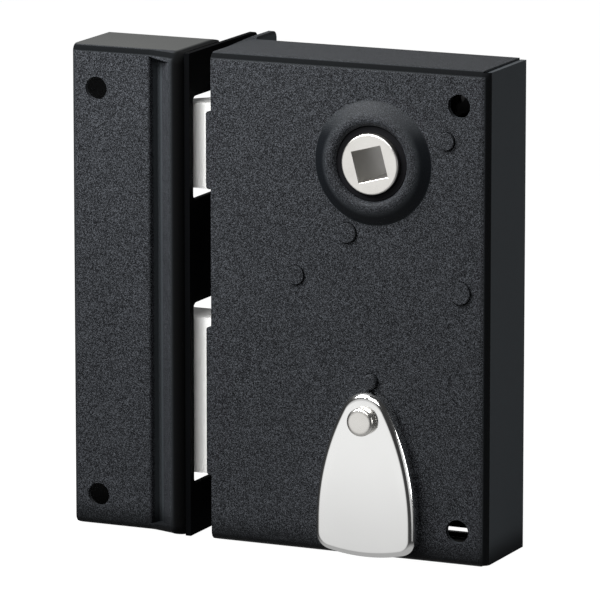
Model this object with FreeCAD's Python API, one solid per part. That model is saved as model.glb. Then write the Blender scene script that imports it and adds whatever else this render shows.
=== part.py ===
import FreeCAD, Part
import math
import os

# Vertical rim lock with its keeper, in millimetres.
# The origin is the spindle axis on the plane of the door face.
# X runs from the lock's forend to its closed side, Y runs into the door, Z is up.

# Lock case
case_width = 76.0
case_height = 126.0
case_depth = 24.5
case_sheet = 1.5
case_bend = 2.2
corner_slit = 0.5
side_flange_step = 0.7
backset = 45.0
spindle_below_top = 25.0
tongue_reach = 1.2
tongue_inset = 1.0
tongue_corner = 0.8

# Forend, the plate along the edge of the door
forend_sheet = 1.5
forend_overlap = 0.6
forend_reach = 12.5
forend_corner = 2.0
forend_screw_inset = 10.0
edge_hole_radius = 2.2
edge_head_radius = 3.6
edge_hole_land = 0.4

# Back plate
back_sheet = 1.5
back_plate_gap = 0.1
view_slot_height = 1.3
view_slot_length = 26.0
view_slot_rise = 2.8
view_slot_middle = 12.0
lug_length = 9.0
lug_depth = 11.0
lug_inset = 3.2
weld_depth = 0.5
seat_ear_half = 4.5
seat_ear_front = 1.0

# Screw holes for the door
door_screw_radius = 3.0
door_screw_inset = 7.8
door_screw_top_inset = 9.1
door_screw_bottom_inset = 8.8

# Follower and its raised boss
square_side = 8.1
square_turn = 15.0
follower_radius = 7.75
follower_body_radius = 8.6
follower_stand_out = 2.4
follower_edge = 0.5
boss_radius = 16.0
boss_height = 2.2
boss_hole_radius = 9.6
boss_lip = 1.4
bush_flange = 2.4
bush_flange_depth = 2.0
bush_recess = 1.2
arm_length = 13.0
arm_tip_radius = 2.5
arm_neck = 3.2
arm_swing = 50.0
arm_front = 8.5
arm_depth = 4.5

# Latch
latch_height = 22.0
latch_thickness = 12.0
latch_setback = 5.5
latch_throw = 11.5
latch_travel = 11.0
latch_tip = 2.5
latch_shoulder = 1.0
latch_bulge = 0.9
latch_edge = 0.8
latch_inside = 9.0
latch_rivet_radius = 1.5
tail_sheet = 2.0
tail_layer_gap = 0.5
tail_end_gap = 0.5
tail_inset = 0.5
tail_step = 2.0
tail_wall = 3.0
lug_gap = 0.25
tail_lug = 4.0
lug_rise = 1.3
lug_wall = 1.5
fork_arm = 4.3
latch_spring_radius = 2.4
latch_spring_wire = 0.7
latch_spring_turns = 6
spring_seat_room = 0.9
latch_spring_rise = 16.5
spring_pin_shank = 1.2
spring_pin_reach = 4.8

# Dead bolt
bolt_height = 40.5
bolt_rise = 36.25
bolt_thickness = 12.0
bolt_setback = 5.2
bolt_throw = 14.0
bolt_inside = 10.0
bolt_chamfer = 0.8
bolt_tail_sheet = 3.0
bolt_tail_setback = 6.8
bolt_tail_height = 20.0
bolt_tail_wall = 2.5
bolt_rivet_radius = 2.0
stump_radius = 1.8
stump_x = -15.5
stump_drop = 3.5

# Key
key_rise = 22.0
key_bit_radius = 12.0
keyhole_radius = 3.3
keyhole_slot_width = 3.2
keyhole_slot_reach = 11.0
key_gap = 0.3
talon_right = -4.6
talon_width = 5.5
talon_depth = 2.8

# Levers
lever_count = 4
lever_sheet = 1.2
lever_gap = 0.25
lever_setback = 1.7
lever_lift = 6.0
lever_pivot_x = 9.0
lever_pivot_rise = 44.0
lever_pivot_radius = 2.5
lever_post_radius = 3.0
lever_end_radius = 5.0
lever_wall = 2.2
lever_corner = 2.0
lever_toe_rise = 2.4
lever_toe_fall = 5.2
lever_belly_reach = 1.2
lever_belly_half = 4.0
lever_belly_step = 0.35
gate_steps = 7
pocket_room = 0.3
pocket_rise = 0.4
lever_spring_sheet = 0.4
lever_spring_run = 4.0
lever_spring_notch = 1.2

# Posts between the front and the back of the case: place and size of the riveted end.
# The upper post's offset is from the middle between the bush and the side flange.
guide_post_x = -7.15
guide_post_z = -18.2
guide_post_end = 2.55
left_post_x = -21.3
left_post_z = -30.1
left_post_end = 2.4
right_post_inset = 7.3
right_post_z = -31.2
right_post_end = 2.85
upper_post_offset = 0.925
upper_post_z = 6.9
upper_post_end = 2.25
post_shoulder = 1.0
post_stand_out = 0.35
post_screw_radius = 1.5
post_screw_length = 9.0
screw_head_radius = 2.9
screw_end = 2.0
drive_width = 0.7
drive_depth = 0.7

# Swing cover over the keyhole
swing_x = -0.6
swing_rise = 36.0
swing_top_radius = 7.0
swing_wide_half = 13.7
swing_wide_drop = 27.0
swing_corner_drop = 29.8
swing_bottom_drop = 35.4
swing_corner_radius = 4.6
swing_depth = 4.4
swing_sheet = 1.0
swing_rim_gap = 0.3
swing_edge_radius = 1.2
pin_radius = 3.6
pin_shank_radius = 2.5
pin_stand_out = 2.75
pin_collar_radius = 3.9
pin_edge = 0.6
rivet_flare = 0.8
rivet_depth = 0.7
stop_x = -0.5
stop_gap = 3.45
stop_radius = 1.95
stop_stand_out = 1.2

# Keeper on the door frame
keeper_gap = 6.1
keeper_width = 34.2
keeper_end_drop = 0.8
keeper_lift = 0.2
keeper_setback = 2.2
keeper_sheet = 1.4
keeper_bend = 1.8
keeper_plate_width = 22.2
groove_depth = 3.7
groove_run = 0.9
groove_under = 0.5
ridge_radius = 2.4
ridge_lean = 45.0
ridge_top = 20.0
ridge_forward = 1.0
ridge_end_gap = 1.2
cap_drop = 0.5
strike_sheet = 1.5
strike_setback = 0.7
strike_reach = 17.4
strike_corner = 2.0
strike_screw_inset = 12.5
window_front = 2.85
window_width = 16.7
window_corner = 1.5
latch_window_height = 26.6
latch_window_drop = 0.4
bolt_window_height = 47.1
bolt_window_rise = 37.05
keeper_screw_radius = 3.0
keeper_screw_inset = 7.2
keeper_screw_high = 10.9
keeper_screw_low = 8.1
strike_ear_length = 8.0
strike_ear_depth = 10.0
strike_ear_setback = 2.0

# Clearances
running_gap = 0.05
sliding_gap = 0.3
seat_gap = 0.1
overshoot = 1.0

# Planes and corners that follow from the sizes
left = -backset
right = left + case_width
top = spindle_below_top
bottom = top - case_height
door_screw_high = top - door_screw_top_inset
door_screw_low = -bottom - door_screw_bottom_inset
bolt_drop = -bottom - bolt_rise
key_drop = -bottom - key_rise
lever_pivot_drop = -bottom - lever_pivot_rise
swing_drop = -bottom - swing_rise
stop_drop = swing_drop - pin_collar_radius - stop_gap - stop_radius
bolt_window_drop = -bottom - bolt_window_rise
front = -case_depth
cover_inner = front + case_sheet
plate_inner = -back_sheet
forend_inner = left + forend_sheet
side_inner = right - case_sheet
door_screw_x = right - door_screw_inset
right_post_x = right - right_post_inset
bush_reach = boss_hole_radius - running_gap + bush_flange
upper_post_x = (bush_reach + side_inner) / 2 - upper_post_offset
latch_spring_seat = door_screw_x - door_screw_radius - back_sheet - spring_seat_room
keeper_right = left - keeper_gap
keeper_left = keeper_right - keeper_width
keeper_front = front + keeper_setback
keeper_bottom = bottom + keeper_lift
keeper_top = top - keeper_end_drop
keeper_height = keeper_top - keeper_bottom
strike_left = keeper_right - strike_sheet


def box(x0, x1, y0, y1, z0, z1):
    return Part.makeBox(x1 - x0, y1 - y0, z1 - z0, FreeCAD.Vector(x0, y0, z0))


def rod(x, z, radius, y0, y1):
    return Part.makeCylinder(radius, y1 - y0, FreeCAD.Vector(x, y0, z), FreeCAD.Vector(0, 1, 0))


def rod_along_x(y, z, radius, x0, x1):
    return Part.makeCylinder(radius, x1 - x0, FreeCAD.Vector(x0, y, z), FreeCAD.Vector(1, 0, 0))


def cone_along_y(x, z, radius_0, radius_1, y0, y1):
    return Part.makeCone(radius_0, radius_1, y1 - y0, FreeCAD.Vector(x, y0, z), FreeCAD.Vector(0, 1, 0))


def cone_along_x(y, z, radius_0, radius_1, x0, x1):
    return Part.makeCone(radius_0, radius_1, x1 - x0, FreeCAD.Vector(x0, y, z), FreeCAD.Vector(1, 0, 0))


def plate(points, y0, y1):
    """A flat plate whose outline is given as x, z pairs."""
    corners = [FreeCAD.Vector(x, y0, z) for x, z in points]
    outline = Part.makePolygon(corners + [corners[0]])
    return Part.Face(outline).extrude(FreeCAD.Vector(0, y1 - y0, 0))


def slot(x0, x1, z, half, y0, y1):
    """A slot with round ends whose end centres lie at x0 and x1."""
    middle = box(x0, x1, y0, y1, z - half, z + half)
    return middle.fuse([rod(x0, z, half, y0, y1), rod(x1, z, half, y0, y1)])


def merged(shapes):
    return shapes[0].fuse(shapes[1:]).removeSplitter()


def edges_where(shape, test):
    return [edge for edge in shape.Edges if test(edge.BoundBox)]


def flat_at(low, high, value):
    return abs(low - value) < 0.001 and abs(high - value) < 0.001


def write(name, *shapes):
    """Write one sub-part, made of one or more separate solids."""
    solids = [solid for shape in shapes for solid in shape.Solids]
    whole = solids[0] if len(solids) == 1 else Part.makeCompound(solids)
    if not whole.isValid():
        raise RuntimeError(name + " is not a valid shape")
    whole.exportStep("parts/" + name + ".step")
    print(name, len(solids), "solids, volume", round(sum(solid.Volume for solid in solids), 1))


def pressed_tray(x0, x1, y0, z0, z1, sheet, bend, bent_side):
    """A tray pressed from sheet, open at the back and at the side that isn't bent."""
    outer = box(x0, x1, y0, 0, z0, z1)
    side = x1 if bent_side == "right" else x0
    front_edges = edges_where(outer, lambda b: flat_at(b.YMin, b.YMax, y0) and (
        flat_at(b.ZMin, b.ZMax, z0) or flat_at(b.ZMin, b.ZMax, z1) or flat_at(b.XMin, b.XMax, side)))
    outer = outer.makeFillet(bend, front_edges)
    inner_x0 = x0 - overshoot if bent_side == "right" else x0 + sheet
    inner_x1 = x1 - sheet if bent_side == "right" else x1 + overshoot
    inner_side = inner_x1 if bent_side == "right" else inner_x0
    inner = box(inner_x0, inner_x1, y0 + sheet, overshoot, z0 + sheet, z1 - sheet)
    inner_edges = edges_where(inner, lambda b: flat_at(b.YMin, b.YMax, y0 + sheet) and (
        flat_at(b.ZMin, b.ZMax, z0 + sheet) or flat_at(b.ZMin, b.ZMax, z1 - sheet)
        or flat_at(b.XMin, b.XMax, inner_side)))
    if bend > sheet:
        inner = inner.makeFillet(bend - sheet, inner_edges)
    return outer.cut(inner)


def boss_profile(height, hole, lip, base, foot):
    """The outline of the boss from its base to its hole, turned about the spindle axis."""
    crest = hole + lip
    run = (base - crest) / 2
    rise = height / 2
    radius = (run ** 2 + rise ** 2) / (2 * rise)
    half_turn = math.atan2(rise, run)
    across = radius * math.sin(half_turn)
    along = radius * (1 - math.cos(half_turn))
    lip_inset = lip * (1 - math.sqrt(0.5))
    low = FreeCAD.Vector(base, front, 0)
    low_middle = FreeCAD.Vector(base - across, front - along, 0)
    middle = FreeCAD.Vector(base - run, front - rise, 0)
    high_middle = FreeCAD.Vector(crest + across, front - height + along, 0)
    high = FreeCAD.Vector(crest, front - height, 0)
    lip_middle = FreeCAD.Vector(hole + lip_inset, front - height + lip_inset, 0)
    lip_end = FreeCAD.Vector(hole, front - height + lip, 0)
    foot_in = FreeCAD.Vector(hole, foot, 0)
    foot_out = FreeCAD.Vector(base, foot, 0)
    return Part.Wire([
        Part.Arc(low, low_middle, middle).toShape(),
        Part.Arc(middle, high_middle, high).toShape(),
        Part.Arc(high, lip_middle, lip_end).toShape(),
        Part.LineSegment(lip_end, foot_in).toShape(),
        Part.LineSegment(foot_in, foot_out).toShape(),
        Part.LineSegment(foot_out, low).toShape()])


def turned(wire):
    return Part.Face(wire).revolve(FreeCAD.Vector(0, 0, 0), FreeCAD.Vector(0, 1, 0), 360)


def boss():
    return turned(boss_profile(boss_height, boss_hole_radius, boss_lip, boss_radius, cover_inner))


def boss_hollow():
    """The space behind the raised sheet of the boss, so that the boss is as thick as the sheet."""
    inner_base = boss_radius - case_sheet / 2
    inner_crest = boss_hole_radius + boss_lip
    depth = boss_height - seat_gap
    start = FreeCAD.Vector(0, cover_inner, 0)
    wall = Part.makeCone(inner_base, inner_crest, depth, start, FreeCAD.Vector(0, -1, 0))
    return wall.cut(rod(0, 0, boss_hole_radius + case_sheet, cover_inner - boss_height, cover_inner))


def keyhole(y0, y1):
    round_part = rod(0, -key_drop, keyhole_radius, y0, y1)
    half = keyhole_slot_width / 2
    return round_part.fuse(box(-half, half, y0, y1, -key_drop - keyhole_slot_reach, -key_drop))


def door_screw_places():
    return [(door_screw_x, door_screw_high), (door_screw_x, -door_screw_low)]


def post_places():
    return [(guide_post_x, guide_post_z, guide_post_end), (left_post_x, left_post_z, left_post_end),
            (right_post_x, right_post_z, right_post_end), (upper_post_x, upper_post_z, upper_post_end)]


def lug_places():
    return [(bottom + case_sheet + lug_inset, bottom + case_sheet + lug_inset + lug_length),
            (top - case_sheet - lug_inset - lug_length, top - case_sheet - lug_inset)]


def tongue(half_height, middle):
    """A short tongue of the front sheet that covers the root of a bolt."""
    edge = left - tongue_reach
    shape = box(edge, left + overshoot, front, cover_inner, middle - half_height, middle + half_height)
    corners = edges_where(shape, lambda b: flat_at(b.XMin, b.XMax, edge) and b.YLength > 0.001)
    return shape.makeFillet(tongue_corner, corners)


def case_cover():
    cover = pressed_tray(left, right, front, bottom, top, case_sheet, case_bend, "right")
    above = top + overshoot
    below = bottom - overshoot
    beyond = right + overshoot
    cover = cover.cut(box(left - overshoot, forend_inner, cover_inner, overshoot, below, above))
    edge = side_inner - corner_slit
    slit_front = front + case_bend
    cover = cover.cut([
        box(edge, side_inner, slit_front, overshoot, top - case_sheet - overshoot, above),
        box(edge, side_inner, slit_front, overshoot, below, bottom + case_sheet + overshoot),
        box(edge, beyond, slit_front, overshoot, top - side_flange_step, above),
        box(edge, beyond, slit_front, overshoot, below, bottom + side_flange_step)])
    latch_tongue = tongue(latch_height / 2 - tongue_inset, 0)
    bolt_tongue = tongue(bolt_height / 2 - tongue_inset, -bolt_drop)
    cover = merged([cover, boss(), latch_tongue, bolt_tongue])
    holes = [rod(0, 0, boss_hole_radius, front - boss_height - overshoot, 0), boss_hollow(),
             keyhole(front - overshoot, 0)]
    for x, z in door_screw_places():
        holes.append(rod(x, z, door_screw_radius, front - overshoot, 0))
    for x, z, radius in post_places():
        holes.append(rod(x, z, radius + running_gap, front - overshoot, 0))
    holes.append(rod(swing_x, -swing_drop, pin_shank_radius + running_gap, front - overshoot, 0))
    holes.append(rod(stop_x, -stop_drop, stop_radius + running_gap, front - overshoot, 0))
    return cover.cut(holes)


def bolt_way(setback, thickness, height, middle):
    """The hole in the forend that a bolt slides through."""
    y0 = front + setback - sliding_gap
    y1 = front + setback + thickness + sliding_gap
    half = height / 2 + sliding_gap
    return box(left - overshoot, forend_inner + overshoot, y0, y1, middle - half, middle + half)


def forend_plate():
    shape = box(left, forend_inner, cover_inner, forend_reach, bottom - forend_overlap, top + forend_overlap)
    corners = edges_where(shape, lambda b: flat_at(b.YMin, b.YMax, forend_reach) and b.XLength > 0.001)
    shape = shape.makeFillet(forend_corner, corners)
    cuts = [
        bolt_way(latch_setback, latch_thickness, latch_height, 0),
        bolt_way(bolt_setback, bolt_thickness, bolt_height, -bolt_drop)]
    outside = left - overshoot
    inside = forend_inner + overshoot
    for z in (bottom + forend_screw_inset, top - forend_screw_inset):
        cuts.append(rod_along_x(forend_reach / 2, z, edge_hole_radius, outside, inside))
        sunk = forend_inner - edge_hole_land
        cuts.append(cone_along_x(forend_reach / 2, z, edge_head_radius, edge_hole_radius, left, sunk))
    screw_y = plate_inner - lug_depth / 2
    shank = post_screw_radius + running_gap
    head = screw_head_radius + running_gap
    for z0, z1 in lug_places():
        middle = (z0 + z1) / 2
        cuts.append(rod_along_x(screw_y, middle, shank, outside, inside))
        cuts.append(cone_along_x(screw_y, middle, head, shank, left, forend_inner))
    return shape.cut(cuts)


def countersunk_screw(length):
    """A small countersunk screw along Y, head at y = 0, shank towards the front."""
    head = cone_along_y(0, 0, post_screw_radius, screw_head_radius, -back_sheet, 0)
    shank = rod(0, 0, post_screw_radius, -length, -back_sheet)
    long = screw_head_radius - drive_width
    half = drive_width / 2
    across = box(-long, long, -drive_depth, overshoot, -half, half)
    upright = box(-half, half, -drive_depth, overshoot, -long, long)
    return head.fuse(shank).cut([across, upright])


def back_plate():
    x0 = forend_inner + back_plate_gap
    x1 = side_inner - back_plate_gap
    z0 = bottom + case_sheet + back_plate_gap
    z1 = top - case_sheet - back_plate_gap
    pieces = [box(x0, x1, plate_inner, 0, z0, z1)]
    root = plate_inner + weld_depth
    for low, high in lug_places():
        pieces.append(box(x0, x0 + back_sheet, plate_inner - lug_depth, root, low, high))
    pieces.append(box(latch_spring_seat, latch_spring_seat + back_sheet,
                      front + arm_front - seat_ear_front, root,
                      latch_spring_rise - seat_ear_half, latch_spring_rise + seat_ear_half))
    shape = merged(pieces)
    y0 = plate_inner - overshoot
    shank = post_screw_radius + running_gap
    head = screw_head_radius + running_gap
    cuts = [rod(0, 0, boss_hole_radius, y0, overshoot), keyhole(y0, overshoot)]
    for x, z in door_screw_places():
        cuts.append(rod(x, z, door_screw_radius, y0, overshoot))
    for x, z, radius in post_places():
        cuts.append(cone_along_y(x, z, shank, head, plate_inner, 0))
    post_hole = lever_post_radius - post_shoulder + running_gap
    cuts.append(rod(lever_pivot_x, -lever_pivot_drop, post_hole, y0, overshoot))
    slot_low = bottom + view_slot_rise
    slot_half = view_slot_length / 2
    cuts.append(box(view_slot_middle - slot_half, view_slot_middle + slot_half, y0, overshoot,
                    slot_low, slot_low + view_slot_height))
    for low, high in lug_places():
        cuts.append(rod_along_x(plate_inner - lug_depth / 2, (low + high) / 2, shank,
                                x0 - overshoot, x0 + back_sheet + overshoot))
    cuts.append(rod_along_x(latch_spring_y(), latch_spring_rise, spring_pin_shank + running_gap,
                            latch_spring_seat - overshoot, latch_spring_seat + back_sheet + overshoot))
    return shape.cut(cuts)


def case_post(x, z, end_radius):
    body = rod(x, z, end_radius + post_shoulder, cover_inner, plate_inner)
    end = rod(x, z, end_radius, front - post_stand_out, cover_inner)
    rim = edges_where(end, lambda b: flat_at(b.YMin, b.YMax, front - post_stand_out))
    end = end.makeFillet(post_stand_out * 0.6, rim)
    hole = rod(x, z, post_screw_radius + running_gap, -post_screw_length - overshoot, plate_inner + overshoot)
    return merged([body, end]).cut(hole)


def back_plate_screws():
    screws = []
    for x, z, radius in post_places():
        screws.append(countersunk_screw(post_screw_length).translated(FreeCAD.Vector(x, 0, z)))
    return screws


def forend_screws():
    screws = []
    for z0, z1 in lug_places():
        screw = countersunk_screw(forend_sheet + back_sheet + screw_end)
        screw.rotate(FreeCAD.Vector(0, 0, 0), FreeCAD.Vector(0, 0, 1), 90)
        screws.append(screw.translated(FreeCAD.Vector(left, plate_inner - lug_depth / 2, (z0 + z1) / 2)))
    return screws


def front_bush():
    outer = boss_hole_radius - running_gap
    sleeve = rod(0, 0, outer, front - boss_height + bush_recess, cover_inner)
    flange = rod(0, 0, bush_reach, cover_inner, cover_inner + bush_flange_depth)
    bore = rod(0, 0, follower_radius + running_gap, front - boss_height - overshoot, 0)
    return merged([sleeve, flange]).cut(bore)


def rear_bush():
    outer = boss_hole_radius - running_gap
    sleeve = rod(0, 0, outer, plate_inner, 0)
    flange = rod(0, 0, bush_reach, plate_inner - bush_flange_depth, plate_inner)
    bore = rod(0, 0, follower_radius + running_gap, -case_depth, overshoot)
    return merged([sleeve, flange]).cut(bore)


def arm_tip(angle):
    turn = math.radians(angle - arm_swing / 2)
    return arm_length * math.sin(turn), arm_length * math.cos(turn)


def follower():
    disc_front = front - follower_stand_out
    journal = rod(0, 0, follower_radius, disc_front, 0)
    rim = edges_where(journal, lambda b: flat_at(b.YMin, b.YMax, disc_front))
    journal = journal.makeFillet(follower_edge, rim)
    body = rod(0, 0, follower_body_radius, cover_inner + bush_flange_depth + seat_gap,
               plate_inner - bush_flange_depth - seat_gap)
    y0 = front + arm_front
    y1 = y0 + arm_depth
    x, z = arm_tip(0)
    arm = box(-arm_neck / 2, arm_neck / 2, y0, y1, 0, arm_length)
    arm.rotate(FreeCAD.Vector(0, 0, 0), FreeCAD.Vector(0, 1, 0), -arm_swing / 2)
    shape = merged([journal, body, arm, rod(x, z, arm_tip_radius, y0, y1)])
    half = square_side / 2
    square = box(-half, half, disc_front - overshoot, overshoot, -half, half)
    square.rotate(FreeCAD.Vector(0, 0, 0), FreeCAD.Vector(0, 1, 0), -square_turn)
    return shape.cut(square)


def latch_spring_y():
    return front + arm_front + arm_depth / 2


def latch_tail_y():
    return front + arm_front + arm_depth + tail_layer_gap


def latch_tail_x():
    """Where the arm of the follower meets the lug of the latch tail."""
    return arm_tip(0)[0] + arm_tip_radius + lug_gap


def latch_head():
    y0 = front + latch_setback
    y1 = y0 + latch_thickness
    tip = left - latch_throw
    inner = left + latch_inside
    shoulder = left - latch_shoulder
    mid = FreeCAD.Vector((tip + shoulder) / 2 - latch_bulge, (y0 + latch_tip + y1) / 2 + latch_bulge, 0)
    nose = FreeCAD.Vector(tip, y0 + latch_tip, 0)
    root = FreeCAD.Vector(shoulder, y1, 0)
    corners = [FreeCAD.Vector(inner, y1, 0), FreeCAD.Vector(inner, y0, 0), FreeCAD.Vector(tip, y0, 0)]
    outline = Part.Wire([
        Part.LineSegment(root, corners[0]).toShape(), Part.LineSegment(corners[0], corners[1]).toShape(),
        Part.LineSegment(corners[1], corners[2]).toShape(), Part.LineSegment(corners[2], nose).toShape(),
        Part.Arc(nose, mid, root).toShape()])
    head = Part.Face(outline).extrude(FreeCAD.Vector(0, 0, latch_height))
    head.translate(FreeCAD.Vector(0, 0, -latch_height / 2))
    tip_edges = edges_where(head, lambda b: flat_at(b.XMin, b.XMax, tip) and flat_at(b.YMin, b.YMax, y0))
    head = head.makeFillet(latch_edge, tip_edges)
    tail_0 = latch_tail_y() - running_gap
    tail_1 = latch_tail_y() + tail_sheet + running_gap
    half = latch_height / 2 + overshoot
    cuts = [box(forend_inner + tail_end_gap, inner + overshoot, tail_0, tail_1, -half, half)]
    for x, z in latch_rivet_places():
        cuts.append(rod(x, z, latch_rivet_radius + running_gap, y0 - overshoot, y1 + overshoot))
    return head.cut(cuts)


def latch_rivet_places():
    x = left + (forend_sheet + latch_inside + tail_end_gap) / 2
    return [(x, -latch_height / 4), (x, latch_height / 4)]


def latch_rivets():
    y0 = front + latch_setback
    return [rod(x, z, latch_rivet_radius, y0, y0 + latch_thickness) for x, z in latch_rivet_places()]


def latch_tail():
    y0 = latch_tail_y()
    y1 = y0 + tail_sheet
    half = follower_body_radius + 2 * sliding_gap
    arm_top = half + fork_arm
    x_lug = latch_tail_x()
    lug_top = latch_spring_rise + latch_spring_radius + lug_wall
    head_end = left + latch_inside
    foot_wall = guide_post_end + post_shoulder + tail_wall
    foot_left = guide_post_x - latch_travel - foot_wall
    tongue_half = latch_height / 2 - tail_inset
    arm_right = upper_post_x - upper_post_end - post_shoulder - latch_travel - 2 * sliding_gap
    shape = merged([
        box(forend_inner + tail_end_gap + seat_gap, head_end + tail_step, y0, y1, -tongue_half, tongue_half),
        box(head_end + sliding_gap, arm_right, y0, y1, -arm_top, arm_top),
        box(foot_left, guide_post_x + foot_wall, y0, y1, guide_post_z - foot_wall, -half),
        box(x_lug - tail_wall, x_lug + tail_lug, y0, y1, half, lug_top),
        box(x_lug, x_lug + tail_lug, front + arm_front, y1, half + lug_rise, lug_top)])
    guide_half = guide_post_end + post_shoulder + sliding_gap / 2
    cut_0 = y0 - overshoot
    cut_1 = y1 + overshoot
    cuts = [
        slot(-latch_travel, right, 0, half, cut_0, cut_1),
        slot(guide_post_x - latch_travel, guide_post_x, guide_post_z, guide_half, cut_0, cut_1)]
    for x, z in latch_rivet_places():
        cuts.append(rod(x, z, latch_rivet_radius + running_gap, cut_0, cut_1))
    return shape.cut(cuts)


def coil(radius, wire, x0, x1, turns, y, z):
    """A compression spring along X whose wire ends are set on the end planes."""
    pitch = (x1 - x0 - wire) / turns
    path = Part.makeHelix(pitch, pitch * turns, radius)
    path.rotate(FreeCAD.Vector(0, 0, 0), FreeCAD.Vector(0, 1, 0), 90)
    path.translate(FreeCAD.Vector(x0 + wire / 2, y, z))
    start = path.Edges[0].valueAt(path.Edges[0].FirstParameter)
    along = path.Edges[0].tangentAt(path.Edges[0].FirstParameter)
    section = Part.Wire([Part.makeCircle(wire / 2, start, along)])
    return Part.Wire(path.Edges).makePipeShell([section], True, False)


def latch_spring():
    return coil(latch_spring_radius, latch_spring_wire, latch_tail_x() + tail_lug, latch_spring_seat,
                latch_spring_turns, latch_spring_y(), latch_spring_rise)


def latch_spring_pin():
    inside = latch_spring_radius - latch_spring_wire / 2 - sliding_gap
    y = latch_spring_y()
    z = latch_spring_rise
    seat = latch_spring_seat
    guide = rod_along_x(y, z, inside, seat - spring_pin_reach, seat)
    shank = rod_along_x(y, z, spring_pin_shank, seat - overshoot, seat + back_sheet + post_stand_out)
    return merged([guide, shank])


def dead_bolt_head():
    y0 = front + bolt_setback
    low = -bolt_drop - bolt_height / 2
    tip = left - bolt_throw
    inner = left + bolt_inside
    y1 = y0 + bolt_thickness
    head = box(tip, inner, y0, y1, low, low + bolt_height)
    head = head.makeChamfer(bolt_chamfer, edges_where(head, lambda b: flat_at(b.XMin, b.XMax, tip)))
    tail_0 = bolt_tail_y() - running_gap
    tail_1 = bolt_tail_y() + bolt_tail_sheet + running_gap
    tail_low = bolt_tail_low() - running_gap
    tail_high = bolt_tail_low() + bolt_tail_height + running_gap
    cuts = [box(forend_inner + tail_end_gap, inner + overshoot, tail_0, tail_1, tail_low, tail_high)]
    for x, z in bolt_rivet_places():
        cuts.append(rod(x, z, bolt_rivet_radius + running_gap, y0 - overshoot, y1 + overshoot))
    return head.cut(cuts)


def bolt_tail_y():
    return front + bolt_setback + bolt_tail_setback


def bolt_tail_low():
    return -key_drop + key_bit_radius - talon_depth + key_gap


def bolt_rivet_places():
    x = left + (forend_sheet + bolt_inside + tail_end_gap) / 2
    low = bolt_tail_low()
    return [(x, low + bolt_tail_height / 4), (x, low + bolt_tail_height * 3 / 4)]


def dead_bolt_rivets():
    y0 = front + bolt_setback
    return [rod(x, z, bolt_rivet_radius, y0, y0 + bolt_thickness) for x, z in bolt_rivet_places()]


def stump_z():
    return -lever_pivot_drop - stump_drop


def dead_bolt_tail():
    y0 = bolt_tail_y()
    y1 = y0 + bolt_tail_sheet
    low = bolt_tail_low()
    end = lever_pivot_x + lever_post_radius + bolt_tail_wall
    shape = box(forend_inner + tail_end_gap + seat_gap, end, y0, y1, low, low + bolt_tail_height)
    post_way = lever_post_radius + sliding_gap / 2
    cut_0 = y0 - overshoot
    cut_1 = y1 + overshoot
    cuts = [
        slot(lever_pivot_x - bolt_throw, lever_pivot_x, -lever_pivot_drop, post_way, cut_0, cut_1),
        box(talon_right - talon_width, talon_right, cut_0, cut_1, low - overshoot, low + talon_depth),
        rod(stump_x, stump_z(), stump_radius + running_gap, cut_0, cut_1)]
    for x, z in bolt_rivet_places():
        cuts.append(rod(x, z, bolt_rivet_radius + running_gap, cut_0, cut_1))
    return shape.cut(cuts)


def bolt_stump():
    return rod(stump_x, stump_z(), stump_radius, lever_front(0), bolt_tail_y() + bolt_tail_sheet)


def lever_front(index):
    return cover_inner + lever_setback + index * (lever_sheet + lever_gap)


def lever_post():
    x = lever_pivot_x
    z = -lever_pivot_drop
    pack_end = lever_front(lever_count) - lever_gap + seat_gap
    return merged([
        rod(x, z, lever_pivot_radius, cover_inner + 2 * seat_gap, pack_end),
        rod(x, z, lever_post_radius, pack_end, plate_inner),
        rod(x, z, lever_post_radius - post_shoulder, plate_inner, 0)])


def stump_in_lever(slide):
    """Place of the bolt's stump, seen from a lever that lifts as the bolt slides."""
    turn = math.radians(lever_lift) * slide / bolt_throw
    dx = stump_x + slide - lever_pivot_x
    dz = -stump_drop
    return (lever_pivot_x + dx * math.cos(turn) - dz * math.sin(turn),
            -lever_pivot_drop + dx * math.sin(turn) + dz * math.cos(turn))


def lever_gate(y0, y1):
    """The gate that the stump runs through, with a pocket at each end."""
    half = stump_radius + sliding_gap / 2
    places = [stump_in_lever(bolt_throw * i / gate_steps) for i in range(gate_steps + 1)]
    shapes = []
    for (xa, za), (xb, zb) in zip(places, places[1:]):
        length = math.hypot(xb - xa, zb - za)
        link = box(0, length, y0, y1, -half, half)
        slant = math.degrees(math.atan2(zb - za, xb - xa))
        link.rotate(FreeCAD.Vector(0, 0, 0), FreeCAD.Vector(0, 1, 0), -slant)
        shapes.append(link.translated(FreeCAD.Vector(xa, 0, za)))
        shapes.append(rod(xa, za, half, y0, y1))
    shapes.append(rod(places[-1][0], places[-1][1], half, y0, y1))
    pocket_half = half + pocket_room
    pocket_low = places[-1][1] - half
    pocket_top = stump_z() + half + pocket_rise
    for x, z in (places[0], places[-1]):
        shapes.append(box(x - pocket_half, x + pocket_half, y0, y1, pocket_low, pocket_top))
    return shapes


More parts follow.
